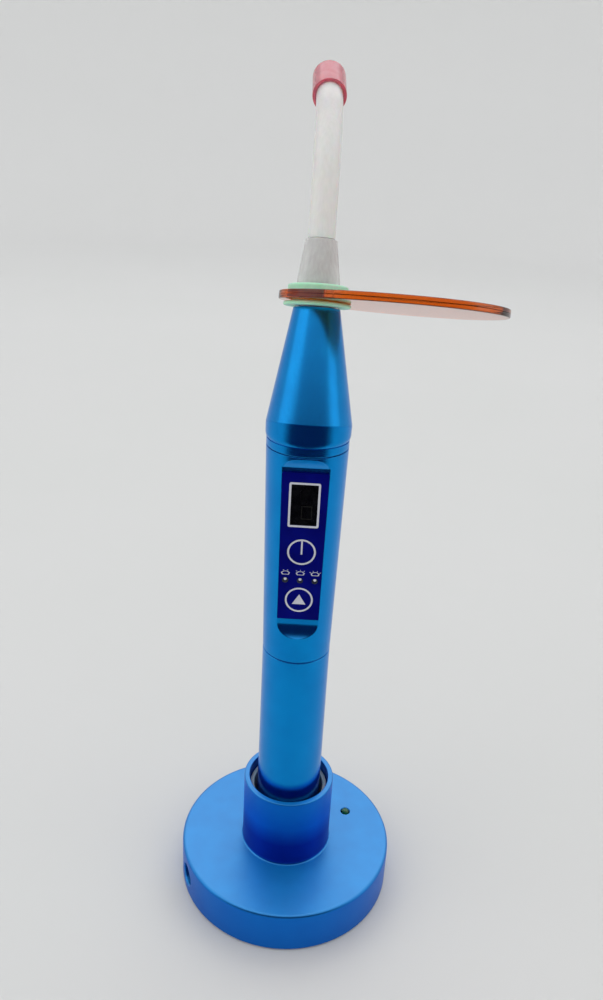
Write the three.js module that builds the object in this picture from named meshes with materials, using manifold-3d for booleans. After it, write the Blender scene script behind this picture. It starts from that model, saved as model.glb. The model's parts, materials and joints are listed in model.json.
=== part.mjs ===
// Cordless dental curing light standing in its charging base.
// The base is a heavy round foot with a socket collar. The handpiece has a screwed tail with the
// battery, a tapered barrel with a control panel, an angled head with the lamp, a bent light
// guide with an eye shield, and a soft cap on the guide's tip.
// Millimetres, +Z up. The origin is the centre of the foot pad's underside. The control panel
// faces -Y, and the head and the tip lean towards +Y.
import * as THREE from "three";
import { mergeVertices } from "three/addons/utils/BufferGeometryUtils.js";
import Module from "manifold-3d";

const wasm = await Module();
wasm.setup();

// ---------------------------------------------------------------- driving dimensions
const GAP = 0.3; // clearance left between pieces that touch on the real object
const FINE_GAP = 0.15; // clearance of a soft ring in its groove, and under the panel label
const SHOWN_SIDES = 48; // sides of a large turned piece that shows
const SIDES = 32; // sides of any other large turned piece
const MEDIUM_SIDES = 24; // sides of a key, a lens or a jack
const SMALL_SIDES = 14; // sides of a small turned piece
const PAST = 1; // how far a cutting tool runs past the face that it cuts

const FOOT = {
  radius: 41,
  top: 17, // height of the foot's upper face
  underside: 0.6, // the metal edge stands this far above the table
  edge: 0.9, // chamfer round the upper edge
  lowerEdge: 0.5,
  ceiling: 13.5, // roof of the hollow inside the foot
  hollow: 35.5, // radius of that hollow
  plateSeat: 38.6, // radius of the recess for the steel plate
};
const PAD = { radius: 38, thick: 1.6, edge: 0.3 };
const PLATE = { thick: 2.5, headSink: 1.5 };
const COLLAR = { radius: 17.2, bore: 15.1, top: 46.4, edge: 0.6, ledge: 12.5, ledgeTop: 16, foot: 0.8 };
const LINER = { radius: 14.8, bore: 13.3, top: 42.5, floor: 2.7 };
const SCREW = { ring: 33.2, turns: [114, 234, 354], shaft: 1.2, head: 2.3, boss: 2.6, top: 10.5 };
const JACK = {
  turn: 204, // degrees round the foot
  height: 8.5,
  hole: 4.2,
  barrel: 3.9,
  front: 37.5,
  bore: 2.8,
  boreFoot: 27.5,
  pin: 1,
  bodyBack: 23,
  bodyFront: 35,
  bodyHalfWide: 4.6,
  bodyBelow: 3.6, // the body stands on the board, this far under the jack's axis
  bodyAbove: 4.2,
};
// Green charging lamp in the foot's upper face, with two legs down to the board.
const LAMP = { x: 24.3, y: 12.7, radius: 1.5, leg: 0.25, legApart: 0.9 };
const BOARD = { thick: 1.6, base: 6.1, radius: 29.8, jackEdge: 21.5 };
const PINS = { side: 6.6, radius: 1.1, top: 20, carrier: 11.5, collar: 1.9, roof: 2 };

const TAIL = { radius: 12.06, bore: 9.5, bottom: 19.3, top: 105.6, lip: 8.6, spigotBore: 11 };
const CELL = { radius: 9.15, bottom: 31, length: 65, button: 3, buttonTall: 0.8 };
const BARREL = { foot: 105.9, top: 182.4, footRadius: 12.06, topRadius: 13.52, bore: 9 };
const SPIGOT = {
  bottom: 96,
  radius: 10.7,
  bore: 9.5,
  boreTop: 101,
  grooveLow: 103, // groove of the rubber ring that seals the screwed joint
  grooveHigh: 104.6,
  grooveDeep: 0.75,
};
const HEAD_SEAT = { radius: 10.2, bottom: 174, wireway: 8.3 };

const PANEL = {
  bottom: 120.75, // lowest and highest points of the milled flat
  top: 178.3,
  depthBottom: 10.1, // distance of the flat from the barrel's axis at those points
  depthTop: 11.1,
  tipBottom: 115.8, // where the run-outs reach the round surface
  tipTop: 182,
  labelAbove: 0.85, // label's middle above the middle of the flat
  windowWide: 11.2, // opening through the wall behind the label
  windowLow: -25.2,
  windowHigh: 25,
};
const LABEL = { topWide: 15.1, bottomWide: 14.2, low: -27.55, high: 26.5, thick: 0.5, corner: 0.4 };
const DISPLAY = { wide: 8.6, tall: 14.3, up: 15.35, corner: 0.4, moduleWide: 8.8, moduleTall: 14 };
const KEY = { radius: 4.8, powerUp: -1.6, modeUp: -19.8, stem: 1.4, stemDeep: 1.6 };
const MODE_LAMP = { radius: 0.55, pitch: 4.95, up: -12 };
const MAIN_BOARD = { wide: 12.2, front: -4.5, low: -49.4, high: 23.2 };
const SWITCH = { wide: 4.4, high: 2 };

const HEAD = {
  mitre: 184.5, // where the head's axis leaves the barrel's axis
  tilt: 14.4, // degrees that the head leans back
  turn: 2.6, // degrees that the lean is turned towards +X
  mitreRadius: 13.62,
  creaseRadius: 14,
  crease: 5.05, // from here on, places along the head's own axis
  top: 41.25,
  topRadius: 7.44,
  topEdge: 0.35,
  guideBore: 5.9,
  guideBoreFoot: 29.5,
  wall: 2,
  cavityFoot: 3,
  overrun: 6, // the stub and the cone each run this far past the mitre before it cuts them
};
const HEAT_SINK = {
  foot: 5.8,
  flange: 10.6,
  flangeTop: 8.8,
  neck: 8.2,
  top: 15,
  notchHalfWide: 2.6, // notch for the two wires
  notchDeep: 5.4, // its floor's distance from the axis
};
const WIRE = { radius: 0.55, apart: 1.3 };
const EMITTER = { board: 8, boardThick: 1.4, dome: 2.4, domeTall: 1.6 };
const LENS = { foot: 19.6, top: 28.6, footRadius: 3.2, topRadius: 6.9 };

const GUIDE = {
  foot: 30.5,
  shank: 5.6,
  grooveFloor: 4.9,
  grooveLow: 34.4,
  grooveHigh: 36,
  bore: 4.2,
  shoulder: 6.8,
  taperFoot: 49.2,
  ferruleTop: 62,
  ferruleTopRadius: 5.1,
  rod: 4.3,
  bendStart: 84, // the rod is straight up to here
  bendRadius: 30,
  bendAngle: 53,
  insideCap: 14.6, // straight length of rod inside the soft cap
  turn: 5, // degrees that the bend is turned towards -X
};
const GRIP = { low: 41.6, lowTop: 42.8, highFoot: 46, high: 48.2, wide: 10.7, narrow: 9.6, neck: 8 };
const SHIELD = { near: 12.3, far: 60.4, halfWide: 25, hole: 8.3, thick: 2.6, droop: 1.4 };
const CAP = { radius: 5.5, bore: 4.6, length: 16.4, end: 1.3, edge: 0.4 };

// ---------------------------------------------------------------- materials
function finish(colour, roughness, metalness, more = {}) {
  return new THREE.MeshStandardMaterial({ color: colour, roughness, metalness, ...more });
}
const MATERIAL = {
  blueMetal: finish(0x1f7fc4, 0.38, 0.85),
  steel: finish(0xb9bcc0, 0.35, 1),
  brass: finish(0xc9a24a, 0.35, 1),
  aluminium: finish(0xc8ccd0, 0.4, 1),
  rubber: finish(0x1c1d1f, 0.9, 0),
  greyPlastic: finish(0xaab4b8, 0.5, 0, { transparent: true, opacity: 0.8 }),
  blackPlastic: finish(0x151619, 0.6, 0),
  greenBoard: finish(0x1d5a34, 0.6, 0),
  greenLamp: finish(0x0c5b2a, 0.2, 0),
  cellWrap: finish(0x2f9e8f, 0.4, 0),
  label: finish(0x16196c, 0.3, 0),
  darkGlass: finish(0x08090d, 0.08, 0),
  whitePlastic: finish(0xdfe2e6, 0.4, 0),
  clearGlass: finish(0xd8dcdc, 0.08, 0, { transparent: true, opacity: 0.5 }),
  frostedGlass: finish(0xe9ebe8, 0.35, 0, { transparent: true, opacity: 0.8 }),
  mintSilicone: finish(0x96d7be, 0.55, 0),
  orangeAcrylic: finish(0xc0480c, 0.12, 0, { transparent: true, opacity: 0.75 }),
  pinkSilicone: finish(0xe28d96, 0.4, 0, { transparent: true, opacity: 0.8 }),
  redWire: finish(0xb02020, 0.5, 0),
};

// ---------------------------------------------------------------- helpers
const radians = THREE.MathUtils.degToRad;

// A solid turned about Z from [radius, height] points that run anticlockwise round the section.
function turned(points, sides = SIDES) {
  const profile = points.map(([radius, height]) => new THREE.Vector2(radius, height));
  return new THREE.LatheGeometry(profile, sides).rotateX(Math.PI / 2);
}

// A plain rod along Z.
function rod(radius, low, high, sides = SIDES) {
  return turned([[0, low], [radius, low], [radius, high], [0, high]], sides);
}

// A ring with a square section round Z.
function ring(inner, outer, low, high, sides = SIDES) {
  return turned([[inner, low], [outer, low], [outer, high], [inner, high], [inner, low]], sides);
}

// A box that spans two opposite corners.
function block(low, high) {
  const size = high.map((value, axis) => value - low[axis]);
  const centre = high.map((value, axis) => (value + low[axis]) / 2);
  return new THREE.BoxGeometry(...size).translate(...centre);
}

// A flat outline given thickness along Z.
function plate(shape, low, high, curveSegments = 8) {
  const depth = high - low;
  const geometry = new THREE.ExtrudeGeometry(shape, { depth, bevelEnabled: false, curveSegments });
  return geometry.translate(0, 0, low);
}

function roundedRectangle(wide, tall, corner, up = 0) {
  const x = wide / 2;
  const low = up - tall / 2;
  const high = up + tall / 2;
  const shape = new THREE.Shape();
  shape.absarc(x - corner, low + corner, corner, -Math.PI / 2, 0);
  shape.absarc(x - corner, high - corner, corner, 0, Math.PI / 2);
  shape.absarc(corner - x, high - corner, corner, Math.PI / 2, Math.PI);
  shape.absarc(corner - x, low + corner, corner, Math.PI, 1.5 * Math.PI);
  return shape;
}

function circleHole(radius, x, y) {
  return new THREE.Path().absarc(x, y, radius, 0, 2 * Math.PI, true);
}

// The closed solid of a geometry, for joining and cutting.
function solid(geometry) {
  const bare = geometry.index ? geometry.toNonIndexed() : geometry.clone();
  bare.deleteAttribute("normal");
  bare.deleteAttribute("uv");
  const merged = mergeVertices(bare, 1e-4);
  const corners = Array.from(merged.index.array);
  const kept = [];
  for (let i = 0; i < corners.length; i += 3) {
    const [a, b, c] = corners.slice(i, i + 3);
    if (a !== b && b !== c && c !== a) kept.push(a, b, c);
  }
  const vertProperties = new Float32Array(merged.attributes.position.array);
  return new wasm.Manifold(
    new wasm.Mesh({ numProp: 3, vertProperties, triVerts: new Uint32Array(kept) }),
  );
}

function geometryOf(manifold) {
  const mesh = manifold.getMesh();
  const geometry = new THREE.BufferGeometry();
  geometry.setAttribute("position", new THREE.BufferAttribute(mesh.vertProperties, 3));
  geometry.setIndex(new THREE.BufferAttribute(mesh.triVerts, 1));
  geometry.computeVertexNormals();
  return geometry;
}

const joined = (geometries) => geometries.map(solid).reduce((all, next) => all.add(next));
const cutBy = (manifold, geometries) =>
  geometries.map(solid).reduce((all, next) => all.subtract(next), manifold);

function piece(name, geometry, material) {
  const mesh = new THREE.Mesh(geometry, material);
  mesh.name = name;
  return mesh;
}

function groupOf(...children) {
  const group = new THREE.Group();
  group.add(...children);
  return group;
}

// ---------------------------------------------------------------- charging base
const onRing = (radius, degrees) => [
  radius * Math.cos(radians(degrees)),
  radius * Math.sin(radians(degrees)),
];
const padTop = PAD.thick;
const plateLow = padTop + GAP;
const plateHigh = plateLow + PLATE.thick;

// A tool or piece made along Z, laid along the jack's axis so that its Z runs outwards.
function alongJack(geometry) {
  geometry.rotateY(Math.PI / 2);
  geometry.rotateZ(radians(JACK.turn));
  return geometry.translate(0, 0, JACK.height);
}

function baseHousing() {
  const shell = turned([
    [FOOT.plateSeat, FOOT.underside],
    [FOOT.radius - FOOT.lowerEdge, FOOT.underside],
    [FOOT.radius, FOOT.underside + FOOT.lowerEdge],
    [FOOT.radius, FOOT.top - FOOT.edge],
    [FOOT.radius - FOOT.edge, FOOT.top],
    [COLLAR.radius + COLLAR.foot, FOOT.top],
    [COLLAR.radius, FOOT.top + COLLAR.foot],
    [COLLAR.radius, COLLAR.top - COLLAR.edge],
    [COLLAR.radius - COLLAR.edge, COLLAR.top],
    [COLLAR.bore + COLLAR.edge, COLLAR.top],
    [COLLAR.bore, COLLAR.top - COLLAR.edge],
    [COLLAR.bore, COLLAR.ledgeTop],
    [COLLAR.ledge, COLLAR.ledgeTop],
    [COLLAR.ledge, FOOT.ceiling],
    [FOOT.hollow, FOOT.ceiling],
    [FOOT.hollow, plateHigh + GAP],
    [FOOT.plateSeat, plateHigh + GAP],
    [FOOT.plateSeat, FOOT.underside],
  ], SHOWN_SIDES);
  const bosses = SCREW.turns.map((turn) =>
    rod(SCREW.boss, plateHigh + GAP, FOOT.ceiling + PAST, SMALL_SIDES)
      .translate(...onRing(SCREW.ring, turn), 0));
  const holes = SCREW.turns.map((turn) =>
    rod(SCREW.shaft + GAP, plateHigh, SCREW.top + GAP, SMALL_SIDES)
      .translate(...onRing(SCREW.ring, turn), 0));
  const jackHole = alongJack(
    rod(JACK.hole, FOOT.hollow - 2 * PAST, FOOT.radius + PAST, MEDIUM_SIDES));
  const lampHole = rod(LAMP.radius + GAP, FOOT.ceiling - PAST, FOOT.top + PAST, SMALL_SIDES)
    .translate(LAMP.x, LAMP.y, 0);
  return geometryOf(cutBy(joined([shell, ...bosses]), [...holes, jackHole, lampHole]));
}

function basePlate() {
  const radius = FOOT.plateSeat - GAP;
  const disc = solid(rod(radius, plateLow, plateHigh));
  const holes = SCREW.turns.flatMap((turn) => {
    const place = onRing(SCREW.ring, turn);
    const shaftHole = rod(SCREW.shaft + GAP, plateLow - PAST, plateHigh + PAST, SMALL_SIDES);
    const headHole = rod(SCREW.head + GAP, plateLow - PAST, plateLow + PLATE.headSink, SMALL_SIDES);
    return [shaftHole.translate(...place, 0), headHole.translate(...place, 0)];
  });
  return geometryOf(cutBy(disc, holes));
}

function footPad() {
  return turned([
    [0, 0],
    [PAD.radius - PAD.edge, 0],
    [PAD.radius, PAD.edge],
    [PAD.radius, PAD.thick],
    [0, PAD.thick],
  ]);
}

function baseScrew(turn) {
  const headTop = plateLow + PLATE.headSink - GAP;
  const profile = [
    [0, plateLow + 0.2],
    [SCREW.head, plateLow + 0.2],
    [SCREW.head, headTop],
    [SCREW.shaft, headTop],
    [SCREW.shaft, SCREW.top - 0.6],
    [0.5, SCREW.top],
    [0, SCREW.top],
  ];
  return turned(profile, SMALL_SIDES).translate(...onRing(SCREW.ring, turn), 0);
}

// A cup whose floor lets the two charging pins through.
function socketLiner() {
  const low = COLLAR.ledgeTop + GAP;
  const floor = low + LINER.floor;
  const cup = turned([
    [0, low],
    [LINER.radius, low],
    [LINER.radius, LINER.top - 0.4],
    [LINER.radius - 0.4, LINER.top],
    [LINER.bore + 0.4, LINER.top],
    [LINER.bore, LINER.top - 0.4],
    [LINER.bore, floor],
    [0, floor],
  ]);
  const holes = [0, PINS.side].map((x) =>
    rod(PINS.radius + GAP, low - PAST, floor + PAST, SMALL_SIDES).translate(x, 0, 0));
  return geometryOf(cutBy(solid(cup), holes));
}

function pinCarrier() {
  const low = BOARD.base + BOARD.thick + GAP;
  const high = COLLAR.ledgeTop - FINE_GAP;
  const body = solid(rod(PINS.carrier, low, high, MEDIUM_SIDES));
  const holes = [0, PINS.side].flatMap((x) => [
    rod(PINS.radius + GAP, low - PAST, high + PAST, SMALL_SIDES).translate(x, 0, 0),
    rod(PINS.collar + GAP, low - PAST, high - PINS.roof, SMALL_SIDES).translate(x, 0, 0),
  ]);
  return geometryOf(cutBy(body, holes));
}

// A sprung pin with a collar that stops it under the carrier's roof.
function chargePin(x) {
  const low = BOARD.base + BOARD.thick + 1.6; // room below for the spring
  const collarTop = COLLAR.ledgeTop - FINE_GAP - PINS.roof - GAP;
  const collarFoot = collarTop - 1.5;
  const profile = [
    [0, low],
    [PINS.radius, low],
    [PINS.radius, collarFoot],
    [PINS.collar, collarFoot],
    [PINS.collar, collarTop],
    [PINS.radius, collarTop],
    [PINS.radius, PINS.top - 0.7],
    [0.7 * PINS.radius, PINS.top - 0.2],
    [0, PINS.top],
  ];
  return turned(profile, SMALL_SIDES).translate(x, 0, 0);
}

// A round board with a straight edge beside the power jack.
function baseBoard() {
  const disc = solid(rod(BOARD.radius, BOARD.base, BOARD.base + BOARD.thick));
  const past = BOARD.radius + PAST;
  const jackSide = block([BOARD.jackEdge, -past, 0], [past, past, FOOT.top])
    .rotateZ(radians(JACK.turn));
  return geometryOf(cutBy(disc, [jackSide]));
}

function dcJack() {
  const body = block(
    [-JACK.bodyAbove, -JACK.bodyHalfWide, JACK.bodyBack],
    [JACK.bodyBelow, JACK.bodyHalfWide, JACK.bodyFront],
  );
  const barrel = rod(JACK.barrel, JACK.bodyFront - PAST, JACK.front, MEDIUM_SIDES);
  const bore = rod(JACK.bore, JACK.boreFoot, JACK.front + PAST, MEDIUM_SIDES);
  const solids = [body, barrel].map(alongJack);
  return geometryOf(cutBy(joined(solids), [alongJack(bore)]));
}

function dcJackPin() {
  const foot = JACK.boreFoot + GAP;
  const tip = JACK.front - 0.8;
  const profile = [[0, foot], [JACK.pin, foot], [JACK.pin, tip - 0.5], [0.5, tip], [0, tip]];
  return alongJack(turned(profile, SMALL_SIDES));
}

function powerLamp() {
  const low = FOOT.ceiling - 2;
  const dome = FOOT.top - 0.3;
  const bulb = turned([
    [0, low],
    [LAMP.radius, low],
    [LAMP.radius, dome],
    [0.8 * LAMP.radius, dome + 0.6],
    [0.4 * LAMP.radius, dome + 0.95],
    [0, dome + 1.05],
  ], SMALL_SIDES);
  const legFoot = BOARD.base + BOARD.thick + GAP;
  const legs = [-LAMP.legApart, LAMP.legApart].map((x) =>
    block([x - LAMP.leg, -LAMP.leg, legFoot], [x + LAMP.leg, LAMP.leg, low + 0.5]));
  return geometryOf(joined([bulb, ...legs])).translate(LAMP.x, LAMP.y, 0);
}

function chargingBase() {
  return groupOf(
    piece("base_housing", baseHousing(), MATERIAL.blueMetal),
    piece("base_plate", basePlate(), MATERIAL.steel),
    piece("foot_pad", footPad(), MATERIAL.rubber),
    ...SCREW.turns.map((turn, i) => piece(`base_screw_${i + 1}`, baseScrew(turn), MATERIAL.steel)),
    piece("socket_liner", socketLiner(), MATERIAL.greyPlastic),
    piece("pin_carrier", pinCarrier(), MATERIAL.blackPlastic),
    piece("charge_pin_centre", chargePin(0), MATERIAL.brass),
    piece("charge_pin_side", chargePin(PINS.side), MATERIAL.brass),
    piece("base_board", baseBoard(), MATERIAL.greenBoard),
    piece("dc_jack", dcJack(), MATERIAL.blackPlastic),
    piece("dc_jack_pin", dcJackPin(), MATERIAL.steel),
    piece("charge_lamp", powerLamp(), MATERIAL.greenLamp),
  );
}

// ---------------------------------------------------------------- tail with the battery
const plugLow = TAIL.bottom + 1;
const plugHigh = plugLow + 5;
const CONTACT = { thick: 1, centre: 2.5, ringInner: 5, ringOuter: 8 };

function tailTube() {
  return turned([
    [TAIL.lip, TAIL.bottom],
    [TAIL.radius - 0.6, TAIL.bottom],
    [TAIL.radius, TAIL.bottom + 0.6],
    [TAIL.radius, TAIL.top - 0.25],
    [TAIL.radius - 0.25, TAIL.top],
    [TAIL.spigotBore, TAIL.top],
    [TAIL.spigotBore, SPIGOT.bottom - GAP],
    [TAIL.bore, SPIGOT.bottom - GAP],
    [TAIL.bore, plugLow - GAP],
    [TAIL.lip, plugLow - GAP],
    [TAIL.lip, TAIL.bottom],
  ]);
}

function tailPlug() {
  const disc = solid(rod(TAIL.bore - GAP, plugLow, plugHigh));
  const recessTop = plugLow + CONTACT.thick + GAP;
  const recesses = [
    rod(CONTACT.centre + GAP, plugLow - PAST, recessTop, MEDIUM_SIDES),
    ring(CONTACT.ringInner - GAP, CONTACT.ringOuter + GAP, plugLow - PAST, recessTop),
  ];
  return geometryOf(cutBy(disc, recesses));
}

// A wire wound round Z, closed at both ends.
class Coil extends THREE.Curve {
  constructor(radius, low, high, turns) {
    super();
    Object.assign(this, { radius, low, high, turns });
  }

  getPoint(t, target = new THREE.Vector3()) {
    const angle = 2 * Math.PI * this.turns * t;
    const height = this.low + (this.high - this.low) * t;
    return target.set(this.radius * Math.cos(angle), this.radius * Math.sin(angle), height);
  }
}

function batterySpring() {
  const wire = 0.4;
  const path = new Coil(4.5, plugHigh + GAP + wire, CELL.bottom - GAP - wire, 3);
  const section = new THREE.Shape().absarc(0, 0, wire, 0, 2 * Math.PI);
  return new THREE.ExtrudeGeometry(section, {
    steps: 36,
    curveSegments: 3,
    bevelEnabled: false,
    extrudePath: path,
  });
}

function batteryCell() {
  const high = CELL.bottom + CELL.length;
  const shoulder = high - CELL.buttonTall;
  return turned([
    [0, CELL.bottom],
    [CELL.radius - 0.4, CELL.bottom],
    [CELL.radius, CELL.bottom + 0.4],
    [CELL.radius, shoulder - 0.4],
    [CELL.radius - 0.4, shoulder],
    [CELL.button, shoulder],
    [CELL.button, high],
    [0, high],
  ]);
}

function tail() {
  const contactHigh = plugLow + CONTACT.thick;
  const centre = rod(CONTACT.centre, plugLow, contactHigh, MEDIUM_SIDES);
  const outerRing = ring(CONTACT.ringInner, CONTACT.ringOuter, plugLow, contactHigh);
  return groupOf(
    piece("tail_tube", tailTube(), MATERIAL.blueMetal),
    piece("tail_plug", tailPlug(), MATERIAL.blackPlastic),
    piece("tail_contact_centre", centre, MATERIAL.brass),
    piece("tail_contact_ring", outerRing, MATERIAL.brass),
    piece("battery_spring", batterySpring(), MATERIAL.steel),
    piece("battery_cell", batteryCell(), MATERIAL.cellWrap),
  );
}

// ---------------------------------------------------------------- barrel
const barrelRadius = (height) =>
  BARREL.footRadius +
  ((BARREL.topRadius - BARREL.footRadius) * (height - BARREL.foot)) / (BARREL.top - BARREL.foot);

// Y and Z along a run-out: the cutter's arc from the end of the flat out to the round surface.
function runOut(depth, height, tip, steps = 10) {
  const reach = tip - height;
  const rise = barrelRadius(tip) - depth;
  const radius = (reach ** 2 + rise ** 2) / (2 * rise);
  const points = [];
  for (let i = 0; i <= steps; i += 1) {
    const along = (reach * i) / steps;
    points.push([-(depth + radius - Math.sqrt(radius ** 2 - along ** 2)), height + along]);
  }
  return points;
}

// The run-outs and the flat, as one tool whose section is drawn in Y and Z.
function panelCutter() {
  const section = new THREE.Shape([
    ...runOut(PANEL.depthTop, PANEL.top, PANEL.tipTop),
    [-20, PANEL.tipTop],
    [-20, PANEL.tipBottom],
    ...runOut(PANEL.depthBottom, PANEL.bottom, PANEL.tipBottom).reverse(),
  ].map(([y, z]) => new THREE.Vector2(y, z)));
  const halfWide = 12;
  const tool = new THREE.ExtrudeGeometry(section, { depth: 2 * halfWide, bevelEnabled: false });
  const yzToX = new THREE.Matrix4().makeBasis(
    new THREE.Vector3(0, 1, 0),
    new THREE.Vector3(0, 0, 1),
    new THREE.Vector3(1, 0, 0),
  );
  return tool.applyMatrix4(yzToX).translate(-halfWide, 0, 0);
}

// The panel's own frame: X across, Y up along the flat, Z out of it.
const panelSlope = Math.atan2(PANEL.depthTop - PANEL.depthBottom, PANEL.top - PANEL.bottom);
const panelCentre = new THREE.Vector3(
  0,
  -(PANEL.depthBottom + PANEL.depthTop) / 2,
  (PANEL.bottom + PANEL.top) / 2 + PANEL.labelAbove,
);
const panelMatrix = new THREE.Matrix4()
  .makeRotationX(Math.PI / 2 + panelSlope)
  .setPosition(panelCentre);

function barrel() {
  const tube = turned([
    [SPIGOT.bore, SPIGOT.bottom],
    [SPIGOT.radius, SPIGOT.bottom],
    [SPIGOT.radius, SPIGOT.grooveLow],
    [SPIGOT.radius - SPIGOT.grooveDeep, SPIGOT.grooveLow],
    [SPIGOT.radius - SPIGOT.grooveDeep, SPIGOT.grooveHigh],
    [SPIGOT.radius, SPIGOT.grooveHigh],
    [SPIGOT.radius, BARREL.foot],
    [BARREL.footRadius - 0.25, BARREL.foot],
    [BARREL.footRadius, BARREL.foot + 0.25],
    [BARREL.topRadius, BARREL.top - 0.2],
    [BARREL.topRadius - 0.2, BARREL.top],
    [HEAD_SEAT.radius, BARREL.top],
    [HEAD_SEAT.radius, HEAD_SEAT.bottom],
    [BARREL.bore, HEAD_SEAT.bottom],
    [BARREL.bore, SPIGOT.boreTop],
    [SPIGOT.bore, SPIGOT.boreTop],
    [SPIGOT.bore, SPIGOT.bottom],
  ]);
  const half = PANEL.windowWide / 2;
  const window = block([-half, PANEL.windowLow, -4], [half, PANEL.windowHigh, PAST])
    .applyMatrix4(panelMatrix);
  return geometryOf(cutBy(solid(tube), [panelCutter(), window]));
}

function tailSeal() {
  return ring(
    SPIGOT.radius - SPIGOT.grooveDeep + FINE_GAP,
    TAIL.spigotBore - FINE_GAP,
    SPIGOT.grooveLow + FINE_GAP,
    SPIGOT.grooveHigh - FINE_GAP,
  );
}

// The label narrows downwards, as the flat does.
function labelOutline() {
  const corners = [
    [-LABEL.bottomWide / 2, LABEL.low],
    [LABEL.bottomWide / 2, LABEL.low],
    [LABEL.topWide / 2, LABEL.high],
    [-LABEL.topWide / 2, LABEL.high],
  ].map(([x, up]) => new THREE.Vector2(x, up));
  const shape = new THREE.Shape();
  corners.forEach((corner, i) => {
    const before = corners[(i + 3) % 4];
    const after = corners[(i + 1) % 4];
    const start = corner.clone().lerp(before, LABEL.corner / corner.distanceTo(before));
    const end = corner.clone().lerp(after, LABEL.corner / corner.distanceTo(after));
    if (i === 0) {
      shape.moveTo(start.x, start.y);
    } else {
      shape.lineTo(start.x, start.y);
    }
    shape.quadraticCurveTo(corner.x, corner.y, end.x, end.y);
  });
  shape.closePath();
  return shape;
}

function panelLabel() {
  const outline = labelOutline();
  const window = roundedRectangle(
    DISPLAY.wide + 2 * FINE_GAP, DISPLAY.tall + 2 * FINE_GAP, DISPLAY.corner, DISPLAY.up);
  outline.holes.push(new THREE.Path(window.getPoints(4).reverse()));
  for (const up of [KEY.powerUp, KEY.modeUp]) {
    outline.holes.push(circleHole(KEY.radius + GAP, 0, up));
  }
  for (const side of [-1, 0, 1]) {
    outline.holes.push(circleHole(MODE_LAMP.radius + GAP, side * MODE_LAMP.pitch, MODE_LAMP.up));
  }
  return plate(outline, FINE_GAP, FINE_GAP + LABEL.thick, 8);
}

// A round key with a stem that reaches its switch.
function key(up) {
  const high = FINE_GAP + LABEL.thick;
  return turned([
    [0, -KEY.stemDeep],
    [KEY.stem, -KEY.stemDeep],
    [KEY.stem, FINE_GAP],
    [KEY.radius, FINE_GAP],
    [KEY.radius, high],
    [0, high],
  ], MEDIUM_SIDES).translate(0, up, 0);
}

function keySwitch(up) {
  const half = SWITCH.wide / 2;
  const low = MAIN_BOARD.front + GAP;
  const box = block([-half, up - half, low], [half, up + half, low + SWITCH.high - 0.6]);
  const plunger = rod(1.2, low + 1, low + SWITCH.high, SMALL_SIDES).translate(0, up, 0);
  return geometryOf(joined([box, plunger]));
}

function modeLamp(side) {
  const low = MAIN_BOARD.front + GAP;
  const high = FINE_GAP + LABEL.thick - 0.1;
  return rod(MODE_LAMP.radius, low, high, 12).translate(side * MODE_LAMP.pitch, MODE_LAMP.up, 0);
}

function controlPanel() {
  const glass = roundedRectangle(DISPLAY.wide, DISPLAY.tall, DISPLAY.corner, DISPLAY.up);
  const halfWide = DISPLAY.moduleWide / 2;
  const halfTall = DISPLAY.moduleTall / 2;
  const module = block(
    [-halfWide, DISPLAY.up - halfTall, MAIN_BOARD.front + GAP],
    [halfWide, DISPLAY.up + halfTall, -GAP],
  );
  const halfBoard = MAIN_BOARD.wide / 2;
  const board = block(
    [-halfBoard, MAIN_BOARD.low, MAIN_BOARD.front - BOARD.thick],
    [halfBoard, MAIN_BOARD.high, MAIN_BOARD.front],
  );
  const panel = groupOf(
    piece("panel_label", panelLabel(), MATERIAL.label),
    piece("display_glass", plate(glass, FINE_GAP, FINE_GAP + LABEL.thick, 4), MATERIAL.darkGlass),
    piece("display_module", module, MATERIAL.blackPlastic),
    piece("power_key", key(KEY.powerUp), MATERIAL.label),
    piece("mode_key", key(KEY.modeUp), MATERIAL.label),
    piece("power_switch", keySwitch(KEY.powerUp), MATERIAL.steel),
    piece("mode_switch", keySwitch(KEY.modeUp), MATERIAL.steel),
    piece("mode_lamp_left", modeLamp(-1), MATERIAL.whitePlastic),
    piece("mode_lamp_middle", modeLamp(0), MATERIAL.whitePlastic),
    piece("mode_lamp_right", modeLamp(1), MATERIAL.whitePlastic),
    piece("main_board", board, MATERIAL.greenBoard),
  );
  panel.applyMatrix4(panelMatrix);
  return panel;
}

function barrelGroup() {
  const cellTop = CELL.bottom + CELL.length;
  const contactLow = cellTop + GAP;
  const contactHigh = contactLow + 1.4;
  const boardLow = contactHigh + GAP;
  const contactBoard = rod(SPIGOT.bore - GAP, boardLow, boardLow + BOARD.thick);
  return groupOf(
    piece("barrel", barrel(), MATERIAL.blueMetal),
    piece("tail_seal", tailSeal(), MATERIAL.rubber),
    piece("battery_contact", rod(2.4, contactLow, contactHigh, SMALL_SIDES), MATERIAL.brass),
    piece("contact_board", contactBoard, MATERIAL.greenBoard),
    controlPanel(),
  );
}

// ---------------------------------------------------------------- angled head
const headTurn = new THREE.Euler(-radians(HEAD.tilt), 0, -radians(HEAD.turn), "ZXY");
const headMatrix = new THREE.Matrix4()
  .makeRotationFromEuler(headTurn)
  .setPosition(0, 0, HEAD.mitre);
const mitreTurn = new THREE.Euler(-radians(HEAD.tilt / 2), 0, -radians(HEAD.turn), "ZXY");
const mitreMatrix = new THREE.Matrix4()
  .makeRotationFromEuler(mitreTurn)
  .setPosition(0, 0, HEAD.mitre);

// Radius of the cone at a place along the head's axis.
const coneRadius = (along) =>
  HEAD.creaseRadius +
  ((HEAD.topRadius - HEAD.creaseRadius) * (along - HEAD.crease)) / (HEAD.top - HEAD.crease);

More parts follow.
